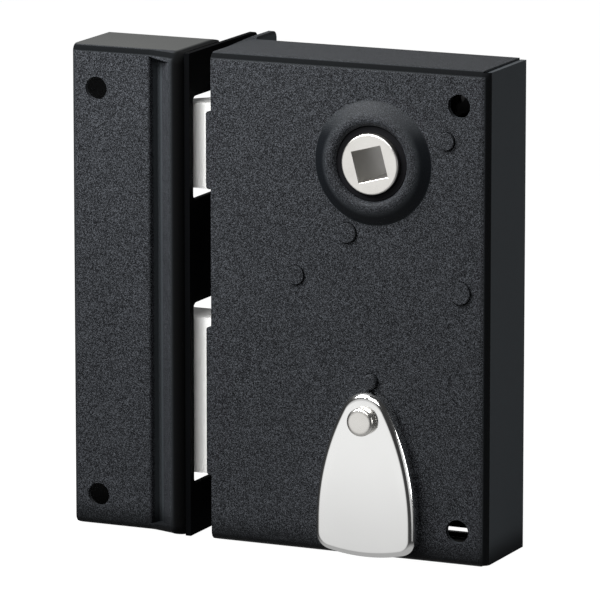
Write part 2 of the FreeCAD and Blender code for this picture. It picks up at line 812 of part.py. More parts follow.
def lever(index):
    y0 = lever_front(index)
    y1 = y0 + lever_sheet
    px = lever_pivot_x
    pz = -lever_pivot_drop
    toe = stump_x - stump_radius - sliding_gap / 2 - pocket_room - lever_wall
    toe_top = pz + lever_toe_rise
    belly = -key_drop + key_bit_radius - lever_belly_reach - index * lever_belly_step
    end = lever_end_radius
    outline = [(px, pz + end), (toe + lever_corner, toe_top), (toe, toe_top - lever_corner),
               (toe, stump_z() - lever_toe_fall), (toe + lever_corner, belly + lever_corner),
               (-lever_belly_half, belly), (lever_belly_half, belly), (px, pz - end)]
    shape = merged([plate(outline, y0, y1), rod(px, pz, end, y0, y1)])
    notch_half = lever_spring_sheet / 2 + running_gap
    cut_0 = y0 - overshoot
    cut_1 = y1 + overshoot
    cuts = lever_gate(cut_0, cut_1)
    cuts.append(rod(px, pz, lever_pivot_radius + running_gap, cut_0, cut_1))
    cuts.append(box(px - notch_half, px + notch_half, cut_0, cut_1, pz + end - lever_spring_notch,
                    pz + end + overshoot))
    return shape.cut(cuts)


def lever_springs():
    """One flat spring for each lever, from the lever's top to the right post."""
    springs = []
    half = lever_spring_sheet / 2
    x0 = lever_pivot_x
    x1 = right_post_x - right_post_end - post_shoulder - half - seat_gap
    z0 = -lever_pivot_drop + lever_end_radius - lever_spring_notch
    z1 = right_post_z
    knee = z0 + lever_spring_run
    heel = z1 - lever_spring_run
    outline = [(x0 - half, z0), (x0 + half, z0), (x0 + half, knee), (x1 + half, heel), (x1 + half, z1),
               (x1 - half, z1), (x1 - half, heel), (x0 - half, knee + half)]
    for index in range(lever_count):
        y0 = lever_front(index) + seat_gap
        springs.append(plate(outline, y0, y0 + lever_sheet - 2 * seat_gap))
    return springs


def swing_outline(y, inset):
    """The teardrop outline of the swing cover in the plane y, of arcs that run into each other."""
    def at(x, drop):
        return FreeCAD.Vector(swing_x + x, y, -swing_drop - drop)

    def on_circle(centre_x, centre_drop, radius, toward_x, toward_drop):
        length = math.hypot(toward_x, toward_drop)
        return centre_x + radius * toward_x / length, centre_drop + radius * toward_drop / length

    wide = swing_wide_half
    side_radius = (wide ** 2 + swing_wide_drop ** 2 - swing_top_radius ** 2) / (2 * (wide - swing_top_radius))
    side_centre = wide - side_radius
    corner = swing_corner_radius
    corner_centre = wide - corner
    rise = swing_bottom_drop - swing_corner_drop
    foot_radius = (corner_centre ** 2 + rise ** 2 - corner ** 2) / (2 * (rise - corner))
    foot_centre = swing_bottom_drop - foot_radius
    top = swing_top_radius - inset
    joint_x, joint_drop = on_circle(0, 0, top, -side_centre, -swing_wide_drop)
    middle_x, middle_drop = on_circle(side_centre, swing_wide_drop, side_radius - inset,
                                      (joint_x + wide) / 2 - side_centre, (joint_drop - swing_wide_drop) / 2)
    foot_x, foot_drop = on_circle(corner_centre, swing_corner_drop, corner - inset,
                                  corner_centre, swing_corner_drop - foot_centre)
    bend_x, bend_drop = on_circle(corner_centre, swing_corner_drop, corner - inset, 1, 1)
    edges = []
    for side in (1, -1):
        edges.append(Part.Arc(at(side * joint_x, joint_drop), at(side * middle_x, middle_drop),
                              at(side * (wide - inset), swing_wide_drop)))
        edges.append(Part.LineSegment(at(side * (wide - inset), swing_wide_drop),
                                      at(side * (wide - inset), swing_corner_drop)))
        edges.append(Part.Arc(at(side * (wide - inset), swing_corner_drop), at(side * bend_x, bend_drop),
                              at(side * foot_x, foot_drop)))
    edges.append(Part.Arc(at(-joint_x, joint_drop), at(0, -top), at(joint_x, joint_drop)))
    edges.append(Part.Arc(at(-foot_x, foot_drop), at(0, swing_bottom_drop - inset), at(foot_x, foot_drop)))
    return Part.Wire(Part.__sortEdges__([edge.toShape() for edge in edges]))


def swing_cover():
    rim = front - swing_rim_gap
    face = front - swing_depth
    outer = Part.Face(swing_outline(rim, 0)).extrude(FreeCAD.Vector(0, face - rim, 0))
    outer = outer.makeFillet(swing_edge_radius, edges_where(outer, lambda b: flat_at(b.YMin, b.YMax, face)))
    inner = Part.Face(swing_outline(rim, swing_sheet)).extrude(FreeCAD.Vector(0, face + swing_sheet - rim, 0))
    inner_edges = edges_where(inner, lambda b: flat_at(b.YMin, b.YMax, face + swing_sheet))
    inner = inner.makeFillet(swing_edge_radius / 2, inner_edges)
    hole = rod(swing_x, -swing_drop, pin_shank_radius + running_gap, face - overshoot, rim)
    return outer.cut([inner, hole])


def swing_cover_pin():
    x = swing_x
    z = -swing_drop
    face = front - swing_depth
    end = face - pin_stand_out
    head = rod(x, z, pin_radius, end, face - seat_gap)
    head = head.makeFillet(pin_edge, edges_where(head, lambda b: flat_at(b.YMin, b.YMax, end)))
    return merged([
        head,
        rod(x, z, pin_shank_radius, face - seat_gap - pin_edge, cover_inner),
        rod(x, z, pin_collar_radius, face + swing_sheet + seat_gap, front),
        rod(x, z, pin_shank_radius + rivet_flare, cover_inner, cover_inner + rivet_depth)])


def swing_stop_stud():
    y0 = front - stop_stand_out
    stud = rod(stop_x, -stop_drop, stop_radius, y0, cover_inner)
    stud = stud.makeFillet(pin_edge, edges_where(stud, lambda b: flat_at(b.YMin, b.YMax, y0)))
    flare = rod(stop_x, -stop_drop, stop_radius + rivet_flare, cover_inner, cover_inner + rivet_depth)
    return merged([stud, flare])


def keeper_section():
    """The sheet of the keeper's front in plan: flat plate, groove and rolled ridge."""
    def at(x, y):
        return FreeCAD.Vector(x, y, keeper_bottom)

    def on_ridge(radius, degrees):
        turn = math.radians(degrees)
        return at(centre_x + radius * math.sin(turn), centre_y - radius * math.cos(turn))

    t = keeper_sheet
    inner = ridge_radius - t
    centre_x = strike_left - ridge_radius
    centre_y = front - ridge_forward + ridge_radius
    start_x = keeper_left + keeper_bend
    plate_right = keeper_left + keeper_plate_width
    end_y = front + window_front - seat_gap
    valley = at(plate_right + groove_run, keeper_front + groove_depth)
    flank = on_ridge(ridge_radius, -ridge_lean)
    inner_flank = on_ridge(inner, -ridge_lean)
    slope = (flank.y - valley.y) / (flank.x - valley.x)
    inner_x = valley.x + t * groove_under
    inner_valley = at(inner_x, inner_flank.y + slope * (inner_x - inner_flank.x))
    under = at(valley.x - t * groove_under / 2, valley.y + t)
    corners = [inner_flank, inner_valley, under, at(plate_right - t, keeper_front + t),
               at(start_x, keeper_front + t), at(start_x, keeper_front), at(plate_right, keeper_front),
               valley, flank]
    edges = [Part.LineSegment(a, b) for a, b in zip(corners, corners[1:])]
    edges += [
        Part.Arc(flank, on_ridge(ridge_radius, ridge_top), at(strike_left, centre_y)),
        Part.LineSegment(at(strike_left, centre_y), at(strike_left, end_y)),
        Part.LineSegment(at(strike_left, end_y), at(strike_left - t, end_y)),
        Part.LineSegment(at(strike_left - t, end_y), at(strike_left - t, centre_y)),
        Part.Arc(at(strike_left - t, centre_y), on_ridge(inner, ridge_top), inner_flank)]
    return Part.Wire([edge.toShape() for edge in edges])


def keeper_cap(z0, z1):
    """The end flange of the keeper, whose front edge follows the plate and the ridge."""
    plate_right = keeper_left + keeper_plate_width
    crest_x = strike_left - ridge_radius
    crest_y = front - ridge_forward + cap_drop + keeper_bend
    plate_y = keeper_front + keeper_bend
    start_x = keeper_left + keeper_bend
    corners = [(start_x, plate_y), (plate_right, plate_y), (crest_x, crest_y),
               (strike_left, crest_y + ridge_radius), (strike_left, 0), (start_x, 0)]
    points = [FreeCAD.Vector(x, y, z0) for x, y in corners]
    return Part.Face(Part.makePolygon(points + [points[0]])).extrude(FreeCAD.Vector(0, 0, z1 - z0))


def keeper_cover():
    t = keeper_sheet
    plate_right = keeper_left + keeper_plate_width
    tray = pressed_tray(keeper_left, plate_right, keeper_front, keeper_bottom, keeper_top, t,
                        keeper_bend, "left")
    section_height = keeper_height - 2 * ridge_end_gap
    section = Part.Face(keeper_section()).extrude(FreeCAD.Vector(0, 0, section_height))
    section.translate(FreeCAD.Vector(0, 0, ridge_end_gap))
    caps = [keeper_cap(keeper_top - t, keeper_top), keeper_cap(keeper_bottom, keeper_bottom + t)]
    shape = merged([tray, section] + caps)
    hole_x = keeper_left + keeper_screw_inset
    hole_end = keeper_front + t + overshoot
    holes = []
    for z in (keeper_top - keeper_screw_high, keeper_bottom + keeper_screw_low):
        holes.append(rod(hole_x, z, keeper_screw_radius, keeper_front - overshoot, hole_end))
    return shape.cut(holes)


def strike_window(height, drop):
    y0 = front + window_front
    half = height / 2
    y1 = y0 + window_width
    shape = box(strike_left - overshoot, keeper_right + overshoot, y0, y1, -drop - half, -drop + half)
    return shape.makeFillet(window_corner, edges_where(shape, lambda b: b.XLength > strike_sheet))


def keeper_strike_plate():
    y0 = front + strike_setback
    shape = box(strike_left, keeper_right, y0, strike_reach, keeper_bottom, keeper_top)
    corners = edges_where(shape, lambda b: flat_at(b.YMin, b.YMax, strike_reach) and b.XLength > 0.001)
    shape = shape.makeFillet(strike_corner, corners)
    ears = []
    ear_left = strike_left - strike_ear_length
    ear_front = -strike_ear_setback - strike_ear_depth
    for z0 in (keeper_top - keeper_sheet - strike_sheet, keeper_bottom + keeper_sheet):
        ears.append(box(ear_left, strike_left, ear_front, -strike_ear_setback, z0, z0 + strike_sheet))
    cuts = [
        strike_window(latch_window_height, latch_window_drop),
        strike_window(bolt_window_height, bolt_window_drop)]
    hole_y = strike_reach / 2
    outside = keeper_right + overshoot
    for z in (keeper_bottom + strike_screw_inset, keeper_top - strike_screw_inset):
        cuts.append(rod_along_x(hole_y, z, edge_hole_radius, strike_left - overshoot, outside))
        sunk = strike_left + edge_hole_land
        cuts.append(cone_along_x(hole_y, z, edge_hole_radius, edge_head_radius, sunk, keeper_right))
    return merged([shape] + ears).cut(cuts)


def build():
    os.makedirs("parts", exist_ok=True)
    write("case_cover", case_cover())
    write("forend_plate", forend_plate())
    write("back_plate", back_plate())
    write("latch_guide_post", case_post(guide_post_x, guide_post_z, guide_post_end))
    write("left_case_post", case_post(left_post_x, left_post_z, left_post_end))
    write("right_case_post", case_post(right_post_x, right_post_z, right_post_end))
    write("upper_case_post", case_post(upper_post_x, upper_post_z, upper_post_end))
    write("back_plate_screws", *back_plate_screws())
    write("forend_screws", *forend_screws())
    write("lever_post", lever_post())
    write("follower_front_bush", front_bush())
    write("follower_rear_bush", rear_bush())
    write("follower", follower())
    write("latch_head", latch_head())
    write("latch_tail", latch_tail())
    write("latch_rivets", *latch_rivets())
    write("latch_spring", latch_spring())
    write("latch_spring_pin", latch_spring_pin())
    write("dead_bolt_head", dead_bolt_head())
    write("dead_bolt_tail", dead_bolt_tail())
    write("dead_bolt_rivets", *dead_bolt_rivets())
    write("bolt_stump", bolt_stump())
    for index in range(lever_count):
        write("lever_" + str(index + 1), lever(index))
    write("lever_springs", *lever_springs())
    write("swing_cover", swing_cover())
    write("swing_cover_pin", swing_cover_pin())
    write("swing_stop_stud", swing_stop_stud())
    write("keeper_cover", keeper_cover())
    write("keeper_strike_plate", keeper_strike_plate())


build()
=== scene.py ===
import math
import bmesh
import bpy
from mathutils import Matrix, Vector


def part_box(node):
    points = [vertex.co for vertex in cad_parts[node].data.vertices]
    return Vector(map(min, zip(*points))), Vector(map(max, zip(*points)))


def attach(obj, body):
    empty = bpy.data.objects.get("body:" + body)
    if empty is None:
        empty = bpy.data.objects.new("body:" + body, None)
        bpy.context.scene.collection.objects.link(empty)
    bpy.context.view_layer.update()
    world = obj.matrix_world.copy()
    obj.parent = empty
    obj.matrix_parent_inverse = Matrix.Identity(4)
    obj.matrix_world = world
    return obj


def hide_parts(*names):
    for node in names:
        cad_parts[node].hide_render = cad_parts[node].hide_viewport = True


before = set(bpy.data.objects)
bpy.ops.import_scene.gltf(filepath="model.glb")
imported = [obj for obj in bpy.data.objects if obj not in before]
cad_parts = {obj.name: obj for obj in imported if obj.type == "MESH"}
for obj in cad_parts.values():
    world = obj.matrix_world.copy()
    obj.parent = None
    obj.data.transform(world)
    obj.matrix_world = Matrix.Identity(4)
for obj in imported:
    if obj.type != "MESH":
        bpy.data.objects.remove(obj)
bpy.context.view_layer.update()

mm = 0.001
hair = 0.001            # millimetres, for telling places apart
weld = 0.004            # millimetres within which points are joined
fineWeld = 0.002
print("frame loaded with", len(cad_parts), "nodes")


# Places read from the frame, in millimetres

def lowOf(node):
    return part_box(node)[0] / mm


def highOf(node):
    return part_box(node)[1] / mm


caseLeft = lowOf("forend_plate").x
caseRight = highOf("case_cover").x
caseTop = highOf("case_cover").z
caseBottom = lowOf("case_cover").z
keeperLeft = lowOf("keeper_cover").x
keeperTop = highOf("keeper_cover").z
keeperBottom = lowOf("keeper_cover").z
strikeFace = highOf("keeper_strike_plate").x


# Shader maths

class Wire:
    # one socket in a material's tree: sums on it add Math nodes
    def __init__(self, tree, socket):
        self.tree = tree
        self.socket = socket

    def make(self, kind, settings, values, out=0):
        node = self.tree.nodes.new(kind)
        for name, value in settings.items():
            setattr(node, name, value)
        for name, value in values.items():
            if isinstance(value, Wire):
                self.tree.links.new(value.socket, node.inputs[name])
            else:
                node.inputs[name].default_value = value
        return Wire(self.tree, node.outputs[out])

    def maths(self, operation, *values):
        return self.make("ShaderNodeMath", {"operation": operation}, dict(enumerate(values)))

    def __add__(self, other):
        return self.maths("ADD", self, other)

    def __radd__(self, other):
        return self.maths("ADD", other, self)

    def __sub__(self, other):
        return self.maths("SUBTRACT", self, other)

    def __rsub__(self, other):
        return self.maths("SUBTRACT", other, self)

    def __mul__(self, other):
        return self.maths("MULTIPLY", self, other)

    def __rmul__(self, other):
        return self.maths("MULTIPLY", other, self)

    def over(self, other):
        # the larger of the two
        return self.maths("MAXIMUM", self, other)

    def vector(self, operation, values, out=0):
        return self.make("ShaderNodeVectorMath", {"operation": operation}, {0: self, **values}, out)

    def smooth(self, low, high):
        values = {"Value": self, "From Min": low, "From Max": high}
        return self.make("ShaderNodeMapRange", {"interpolation_type": "SMOOTHSTEP"}, values)

    def part(self, index):
        return self.make("ShaderNodeSeparateXYZ", {}, {"Vector": self}, index)

    def stretched(self, x, y, z):
        return self.make("ShaderNodeMapping", {}, {"Vector": self, "Scale": (x, y, z)})

    def noise(self, scale, detail, rough):
        values = {"Vector": self, "Scale": scale, "Detail": detail, "Roughness": rough}
        return self.make("ShaderNodeTexNoise", {}, values)

    def mixed(self, first, second):
        values = {0: self, 6: first, 7: second}
        return self.make("ShaderNodeMix", {"data_type": "RGBA"}, values, 2)

    def bump(self, strength, distance):
        values = {"Height": self, "Strength": strength, "Distance": distance}
        return self.make("ShaderNodeBump", {}, values)


def emptyTree(owner):
    # the node tree of a material or of the world, cleared
    owner.use_nodes = True
    owner.node_tree.nodes.clear()
    return owner.node_tree


def startMaterial(name):
    material = bpy.data.materials.new(name)
    tree = emptyTree(material)
    surface = tree.nodes.new("ShaderNodeBsdfPrincipled")
    output = tree.nodes.new("ShaderNodeOutputMaterial")
    tree.links.new(surface.outputs["BSDF"], output.inputs["Surface"])
    place = Wire(tree, tree.nodes.new("ShaderNodeTexCoord").outputs["Object"])
    return material, surface, place


def plug(surface, **values):
    names = {"color": "Base Color", "rough": "Roughness", "metal": "Metallic", "normal": "Normal",
             "specular": "Specular IOR Level"}
    for name, value in values.items():
        socket = surface.inputs[names[name]]
        if isinstance(value, Wire):
            value.tree.links.new(value.socket, socket)
        else:
            socket.default_value = value


# Materials

powder = {
    "dark": (0.0004, 0.0005, 0.0008, 1),
    "pale": (0.0550, 0.0593, 0.0668, 1),
    "smooth": (0.0300, 0.0340, 0.0375, 1),
    # the next colour is painted shade, for the bends and towards the bottom
    "paintedFoldShade": (0.0022, 0.0026, 0.0030, 1),
    # the next colour is painted shade, near black, on the side of the keeper's ridge
    "edge": (0.0008, 0.0009, 0.0010, 1),
    # the next colour is painted shade on the boss's flank
    "stretched": (0.0036, 0.0043, 0.0053, 1),
    "grain": 4550.0,        # pebbles of about a quarter of a millimetre
    "fineGrain": 7250.0,
    "contrast": (0.49, 0.62),       # noise values at which a pebble turns from dark to pale
    "patches": 60.0,
    "depth": 0.00005,
    "rough": 0.55,
    "smoothRough": 0.36,
    "foldRough": 0.95,
    # what follows is in metres; a pair says where a change begins and where it is complete
    "grainFade": 0.0009,                # past the grain's end
    "foldFade": 0.0003,                 # past the front's bends
    "topFoldShade": (-0.0018, -0.0012),      # painted shade in the top bend, from the top
    "foot": (0.0002, 0.0080),           # painted shade towards the bottom, from the bottom
    "crest": (-0.0042, -0.0022),        # painted shade on the ridge's side, from the ridge's side
    "crestShadeEdge": (-0.0030, -0.0016),
    "flank": (0.0116, 0.0138, 0.0157, 0.0160),      # painted shade on the boss's flank, by radius, up and down again
}


def bossFlank(place):
    # 1 on the flank of the boss, less on its upper side: there the coat has painted shade, smooth and dark
    inner, steep, edge, outer = powder["flank"]
    x, z = place.part(0), place.part(2)
    squares = x * x + z * z
    radius = squares.maths("SQRT", squares)
    upward = (z * (1 / outer)).smooth(0.35, 0.85)
    return radius.smooth(inner, steep) * (1 - radius.smooth(edge, outer)) * (1 - upward * 0.7)


def along(line, start, reach):
    # 0 to 1 along a line, over the stretch that powder gives, counted from start
    low, high = powder[reach]
    return line.smooth(start + low, start + high)


def powderCoat(name, look, edges, boss=False):
    # black textured powder coat: pebbled on the faces towards the room, smoother on the flanges, with
    # painted shade along the folds, towards the bottom, on the boss's flank and on the keeper's ridge side,
    # and the top flange's own tone as painted light; edges are the pressing's top, bottom, left and right
    material, surface, place = startMaterial(name)
    front, bend, grainEnd = (look[key] * mm for key in ("front", "bend", "grainEnd"))
    top, bottom, left, right = (edge * mm for edge in edges)
    across, depth, height = place.part(0), place.part(1), place.part(2)
    room = 1 - depth.smooth(grainEnd, grainEnd + powder["grainFade"])
    flat = height.smooth(top - bend * 0.14, top - bend * 0.02)
    inFold = 1 - depth.smooth(front + bend, front + bend + powder["foldFade"])
    upperFoldShade = along(height, top, "topFoldShade") * (1 - flat) * inFold
    foot = 1 - along(height, bottom, "foot")
    if boss:
        flank = bossFlank(place)
        rightFoldShade = across.smooth(right - bend * 0.60, right - bend * 0.35) * inFold
        foldShade = upperFoldShade.over(rightFoldShade)
        grained = room.over(flat * 0.75) * (1 - flank * 0.85)
    else:
        leftFoldShade = (1 - across.smooth(left + bend * 0.35, left + bend * 0.80)) * inFold * 0.75
        foldShade = upperFoldShade.over(leftFoldShade.over(along(across, right, "crest")))
        grained = room
    grained = grained * (1 - foldShade * 0.85)
    pebbles = place.noise(powder["grain"], 1.0, 0.5).smooth(*powder["contrast"])
    fine = place.noise(powder["fineGrain"], 1.0, 0.5).smooth(*powder["contrast"])
    grain = pebbles * 0.60 + fine * 0.40
    patches = place.noise(powder["patches"], 3.0, 0.55)
    speckled = (grain * 0.95 + patches * 0.05).mixed(powder["dark"], powder["pale"])
    # the top flange takes its own tone, painted light and shade apart from the side flanges
    color = grained.mixed(flat.mixed(powder["smooth"], look["topPaintedLight"]), speckled)
    # painted shade: the bends turn dark
    color = foldShade.mixed(color, powder["paintedFoldShade"])
    # painted shade: darker towards the bottom
    color = (foot * 0.9).mixed(color, powder["paintedFoldShade"])
    if boss:
        # painted shade on the boss's flank
        color = flank.mixed(color, powder["stretched"])
    else:
        # painted shade, near black, on the ridge's side towards the strike plate
        color = along(across, right, "crestShadeEdge").mixed(color, powder["edge"])
    coarseRough = grain * 0.12 + patches * 0.05 + (powder["rough"] - 0.08)
    flatRough = patches * 0.08 + (powder["smoothRough"] - 0.04)
    rough = grained * coarseRough + (1 - grained) * flatRough
    rough = rough * (1 - foldShade) + foldShade * powder["foldRough"]
    relief = grain * (grained * 0.95 + 0.05)
    plug(surface, color=color, specular=look["specular"], rough=rough,
         normal=relief.bump(0.9, powder["depth"]))
    return material


tones = {           # the darker and the paler colour of each finish
    # strike is painted shade, near black for the shaded gap
    "strike": ((0.0006, 0.0007, 0.0009, 1), (0.0014, 0.0016, 0.0019, 1)),
    "back": ((0.0150, 0.0170, 0.0190, 1), (0.0280, 0.0300, 0.0330, 1)),
    "chrome": ((0.80, 0.80, 0.79, 1), (0.86, 0.86, 0.85, 1)),
    "nickel": ((0.62, 0.60, 0.57, 1), (0.80, 0.79, 0.76, 1)),
    # zinc is raised almost to white, painted light for the shaded gap
    "zinc": ((0.84, 0.84, 0.81, 1), (0.98, 0.98, 0.97, 1)),
    "steel": ((0.30, 0.30, 0.31, 1), (0.50, 0.50, 0.50, 1)),
    "wire": ((0.16, 0.16, 0.17, 1), (0.30, 0.29, 0.28, 1)),
    "brass": ((0.46, 0.31, 0.11, 1), (0.74, 0.56, 0.26, 1)),
    "plastic": ((0.0015, 0.0015, 0.0020, 1), (0.0040, 0.0040, 0.0050, 1)),
}


def shadowCoat(name, tone, specular):
    # the same powder, smooth and without pebbles, as painted shade: near black on the strike plate inside
    # the gap, and darker than the front on the back plate
    material, surface, place = startMaterial(name)
    patches = place.noise(70.0, 3.0, 0.55)
    fine = place.noise(powder["fineGrain"], 1.0, 0.5)
    plug(surface, color=patches.mixed(*tones[tone]), specular=specular,
         rough=patches * 0.08 + fine * 0.05 + 0.55, normal=fine.bump(0.2, 0.00003))
    return material


def chromePlate(name):
    material, surface, place = startMaterial(name)
    drift = place.noise(70.0, 2.0, 0.5)
    haze = place.noise(900.0, 3.0, 0.6)
    streaks = place.stretched(1400.0, 1400.0, 60.0).noise(1.0, 2.0, 0.5)
    plug(surface, color=drift.mixed(*tones["chrome"]), metal=1.0,
         rough=0.07 + drift * 0.05 + haze * 0.04 + streaks * 0.03,
         normal=(streaks * 0.5 + haze * 0.5).bump(0.10, 0.00002))
    return material


def nickelPlate(name, rough):
    material, surface, place = startMaterial(name)
    specks = place.noise(2600.0, 2.0, 0.6)
    clouds = place.noise(180.0, 3.0, 0.55)
    plug(surface, color=(clouds * 0.7 + specks * 0.3).mixed(*tones["nickel"]), metal=1.0,
         rough=specks * 0.12 + clouds * 0.10 + (rough - 0.11), normal=specks.bump(0.35, 0.00004))
    return material


def zincPlate(name):
    # zinc with a faint yellow cast and a fine stamped grain; its tone is raised almost to white as
    # painted light, so that the bolts look lit inside the shaded gap
    material, surface, place = startMaterial(name)
    grit = place.noise(2200.0, 3.0, 0.65)
    drawn = place.stretched(300.0, 1500.0, 1500.0).noise(1.0, 2.0, 0.5)
    clouds = place.noise(120.0, 3.0, 0.5)
    plug(surface, color=(clouds * 0.5 + grit * 0.3 + drawn * 0.2).mixed(*tones["zinc"]), metal=0.22,
         rough=grit * 0.12 + drawn * 0.06 + 0.42, normal=(grit * 0.6 + drawn * 0.4).bump(0.4, 0.00004))
    return material


def bareSteel(name):
    material, surface, place = startMaterial(name)
    rolled = place.stretched(90.0, 1800.0, 1800.0).noise(1.0, 3.0, 0.6)
    oil = place.noise(110.0, 3.0, 0.55)
    plug(surface, color=(oil * 0.6 + rolled * 0.4).mixed(*tones["steel"]), metal=1.0,
         rough=rolled * 0.15 + oil * 0.12 + 0.22, normal=rolled.bump(0.4, 0.00003))
    return material


def springWire(name):
    material, surface, place = startMaterial(name)
    drawn = place.noise(1900.0, 2.0, 0.5)
    oil = place.noise(260.0, 2.0, 0.5)
    plug(surface, color=oil.mixed(*tones["wire"]), metal=1.0,
         rough=drawn * 0.1 + oil * 0.12 + 0.2, normal=drawn.bump(0.2, 0.00002))
    return material


def leverBrass(name):
    material, surface, place = startMaterial(name)
    rolled = place.stretched(120.0, 1500.0, 1500.0).noise(1.0, 3.0, 0.6)
    tarnish = place.noise(140.0, 4.0, 0.6)
    plug(surface, color=(tarnish * 0.7 + rolled * 0.3).mixed(*tones["brass"]), metal=1.0,
         rough=rolled * 0.14 + tarnish * 0.16 + 0.16, normal=rolled.bump(0.35, 0.00003))
    return material


def blackPlastic(name):
    # black plastic, made darker still as painted shade for the gap round the follower's disc
    material, surface, place = startMaterial(name)
    spark = place.noise(3000.0, 2.0, 0.5)
    flow = place.noise(150.0, 2.0, 0.5)
    plug(surface, color=flow.mixed(*tones["plastic"]), specular=0.06,
         rough=spark * 0.15 + flow * 0.1 + 0.5, normal=spark.bump(0.3, 0.00003))
    return material


strikeCoat = shadowCoat("strikeCoat", "strike", 0.02)
backCoat = shadowCoat("backCoat", "back", 0.30)
chrome = chromePlate("satinChrome")
nickel = nickelPlate("satinNickel", 0.33)
pinNickel = nickelPlate("pinNickel", 0.27)
zinc = zincPlate("brightZinc")
steel = bareSteel("bareSteel")
wire = springWire("springWire")
brass = leverBrass("leverBrass")
plastic = blackPlastic("blackPlastic")
print("materials made")


# Helpers for the pieces

def sameSpot(a, b):
    return abs(a - b) < hair


def addObject(name, data):
    made = bpy.data.objects.new(name, data)
    bpy.context.scene.collection.objects.link(made)
    return made


def makePiece(name, bm, body, material, replaced):
    bmesh.ops.remove_doubles(bm, verts=bm.verts, dist=weld)
    bmesh.ops.scale(bm, vec=(mm, mm, mm), verts=bm.verts)
    mesh = bpy.data.meshes.new(name)
    bm.to_mesh(mesh)
    bm.free()
    mesh.materials.append(material)
    for face in mesh.polygons:
        face.use_smooth = True
    piece = addObject(name, mesh)
    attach(piece, body)
    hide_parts(replaced)
    return piece


def faceOutwards(bm, direction):
    # an open sheet: its normals agree, and its largest face looks along direction
    bmesh.ops.remove_doubles(bm, verts=bm.verts, dist=weld)
    bmesh.ops.recalc_face_normals(bm, faces=bm.faces)
    largest = max(bm.faces, key=lambda face: face.calc_area())
    if largest.normal.dot(Vector(direction)) < 0:
        bmesh.ops.reverse_faces(bm, faces=bm.faces)


def addShell(piece, thickness):
    shell = piece.modifiers.new("sheet", "SOLIDIFY")
    shell.thickness = thickness * mm
    shell.offset = -1
    shell.use_even_offset = True
    shell.use_quality_normals = True


def softenEdges(piece, width, segments=2, angle=40):
    bevel = piece.modifiers.new("edges", "BEVEL")
    bevel.width = width * mm
    bevel.segments = segments
    bevel.limit_method = "ANGLE"
    bevel.angle_limit = math.radians(angle)
    normals = piece.modifiers.new("normals", "WEIGHTED_NORMAL")
    normals.weight = 60
    normals.keep_sharp = False


def newVerts(result):
    return [item for item in result["geom"] if isinstance(item, bmesh.types.BMVert)]


def edgesBetween(bm, verts):
    chosen = set(verts)
    return [edge for edge in bm.edges if edge.verts[0] in chosen and edge.verts[1] in chosen]


def openEdges(bm, test):
    return [edge for edge in bm.edges if len(edge.link_faces) < 2 and all(test(v.co) for v in edge.verts)]


def drawPath(bm, points):
    verts = [bm.verts.new(point) for point in points]
    return [bm.edges.new(pair) for pair in zip(verts, verts[1:])]


def drawCircle(bm, x, z, y, radius, segments=40, turned="X"):
    matrix = Matrix.Translation((x, y, z)) @ Matrix.Rotation(math.radians(90), 4, turned)
    made = bmesh.ops.create_circle(bm, cap_ends=False, segments=segments, radius=radius, matrix=matrix)
    return edgesBetween(bm, made["verts"])


def riseSheet(bm, plan, low, high, roundings):
    # a sheet that stands on a path in plan; roundings are (corner, radius, segments)
    edges = drawPath(bm, [(x, y, low) for x, y in plan])
    risen = bmesh.ops.extrude_edge_only(bm, edges=edges)
    bmesh.ops.translate(bm, verts=newVerts(risen), vec=(0, 0, high - low))
    for (x, y), radius, segments in roundings:
        corner = [edge for edge in bm.edges
                  if all(sameSpot(v.co.x, x) and sameSpot(v.co.y, y) for v in edge.verts)]
        bmesh.ops.bevel(bm, geom=corner, offset=radius, offset_type="OFFSET", affect="EDGES",
                        segments=segments, profile=0.5, material=-1)


def bendEnd(bm, level, way, bendAt, ledgeAt, flatSides, backEdge=None, steps=7):
    # turns the end of a standing sheet over towards the door, and closes it with a flat flange;
    # backEdge is the flange's outline from side to side where it isn't simply square
    ring = openEdges(bm, lambda co: sameSpot(co.z, level))
    for vert in {v for edge in ring for v in edge.verts}:
        vert.co.z = level - way * (bendAt(vert.co.x) - bendAt(flatSides[0]))
    lifted = newVerts(bmesh.ops.extrude_edge_only(bm, edges=ring))
    for vert in lifted:
        vert.co.y = min(vert.co.y, ledgeAt(vert.co.x))
    ring = edgesBetween(bm, lifted)
    for step in range(steps):
        turn = math.pi / 2 * step / steps
        nextTurn = math.pi / 2 * (step + 1) / steps
        lifted = newVerts(bmesh.ops.extrude_edge_only(bm, edges=ring))
        for vert in lifted:
            bend = bendAt(vert.co.x)
            vert.co.y = min(0, vert.co.y + bend * (math.cos(turn) - math.cos(nextTurn)))
            vert.co.z += way * bend * (math.sin(nextTurn) - math.sin(turn))
        ring = edgesBetween(bm, lifted)
    if backEdge:
        end = ring[0].verts[0].co.z
        drawPath(bm, [(x, y, end) for x, y in backEdge])
        bmesh.ops.remove_doubles(bm, verts=bm.verts, dist=weld)
        fillFlat(bm, openEdges(bm, lambda co: sameSpot(co.z, end)), (0, 0, way))
        return
    flange = [edge for edge in ring
              if not any(all(sameSpot(v.co.x, side) for v in edge.verts) for side in flatSides)]
    for vert in newVerts(bmesh.ops.extrude_edge_only(bm, edges=flange)):
        vert.co.y = 0
    bmesh.ops.remove_doubles(bm, verts=bm.verts, dist=weld)
    bmesh.ops.dissolve_degenerate(bm, dist=fineWeld, edges=bm.edges)


def openFace(bm, face):
    # takes out a flat face and gives the edges round its hole
    edges = list(face.edges)
    bmesh.ops.delete(bm, geom=[face], context="FACES_ONLY")
    return edges


def fillFlat(bm, edges, normal):
    bmesh.ops.triangle_fill(bm, use_beauty=True, use_dissolve=False, edges=edges, normal=normal)


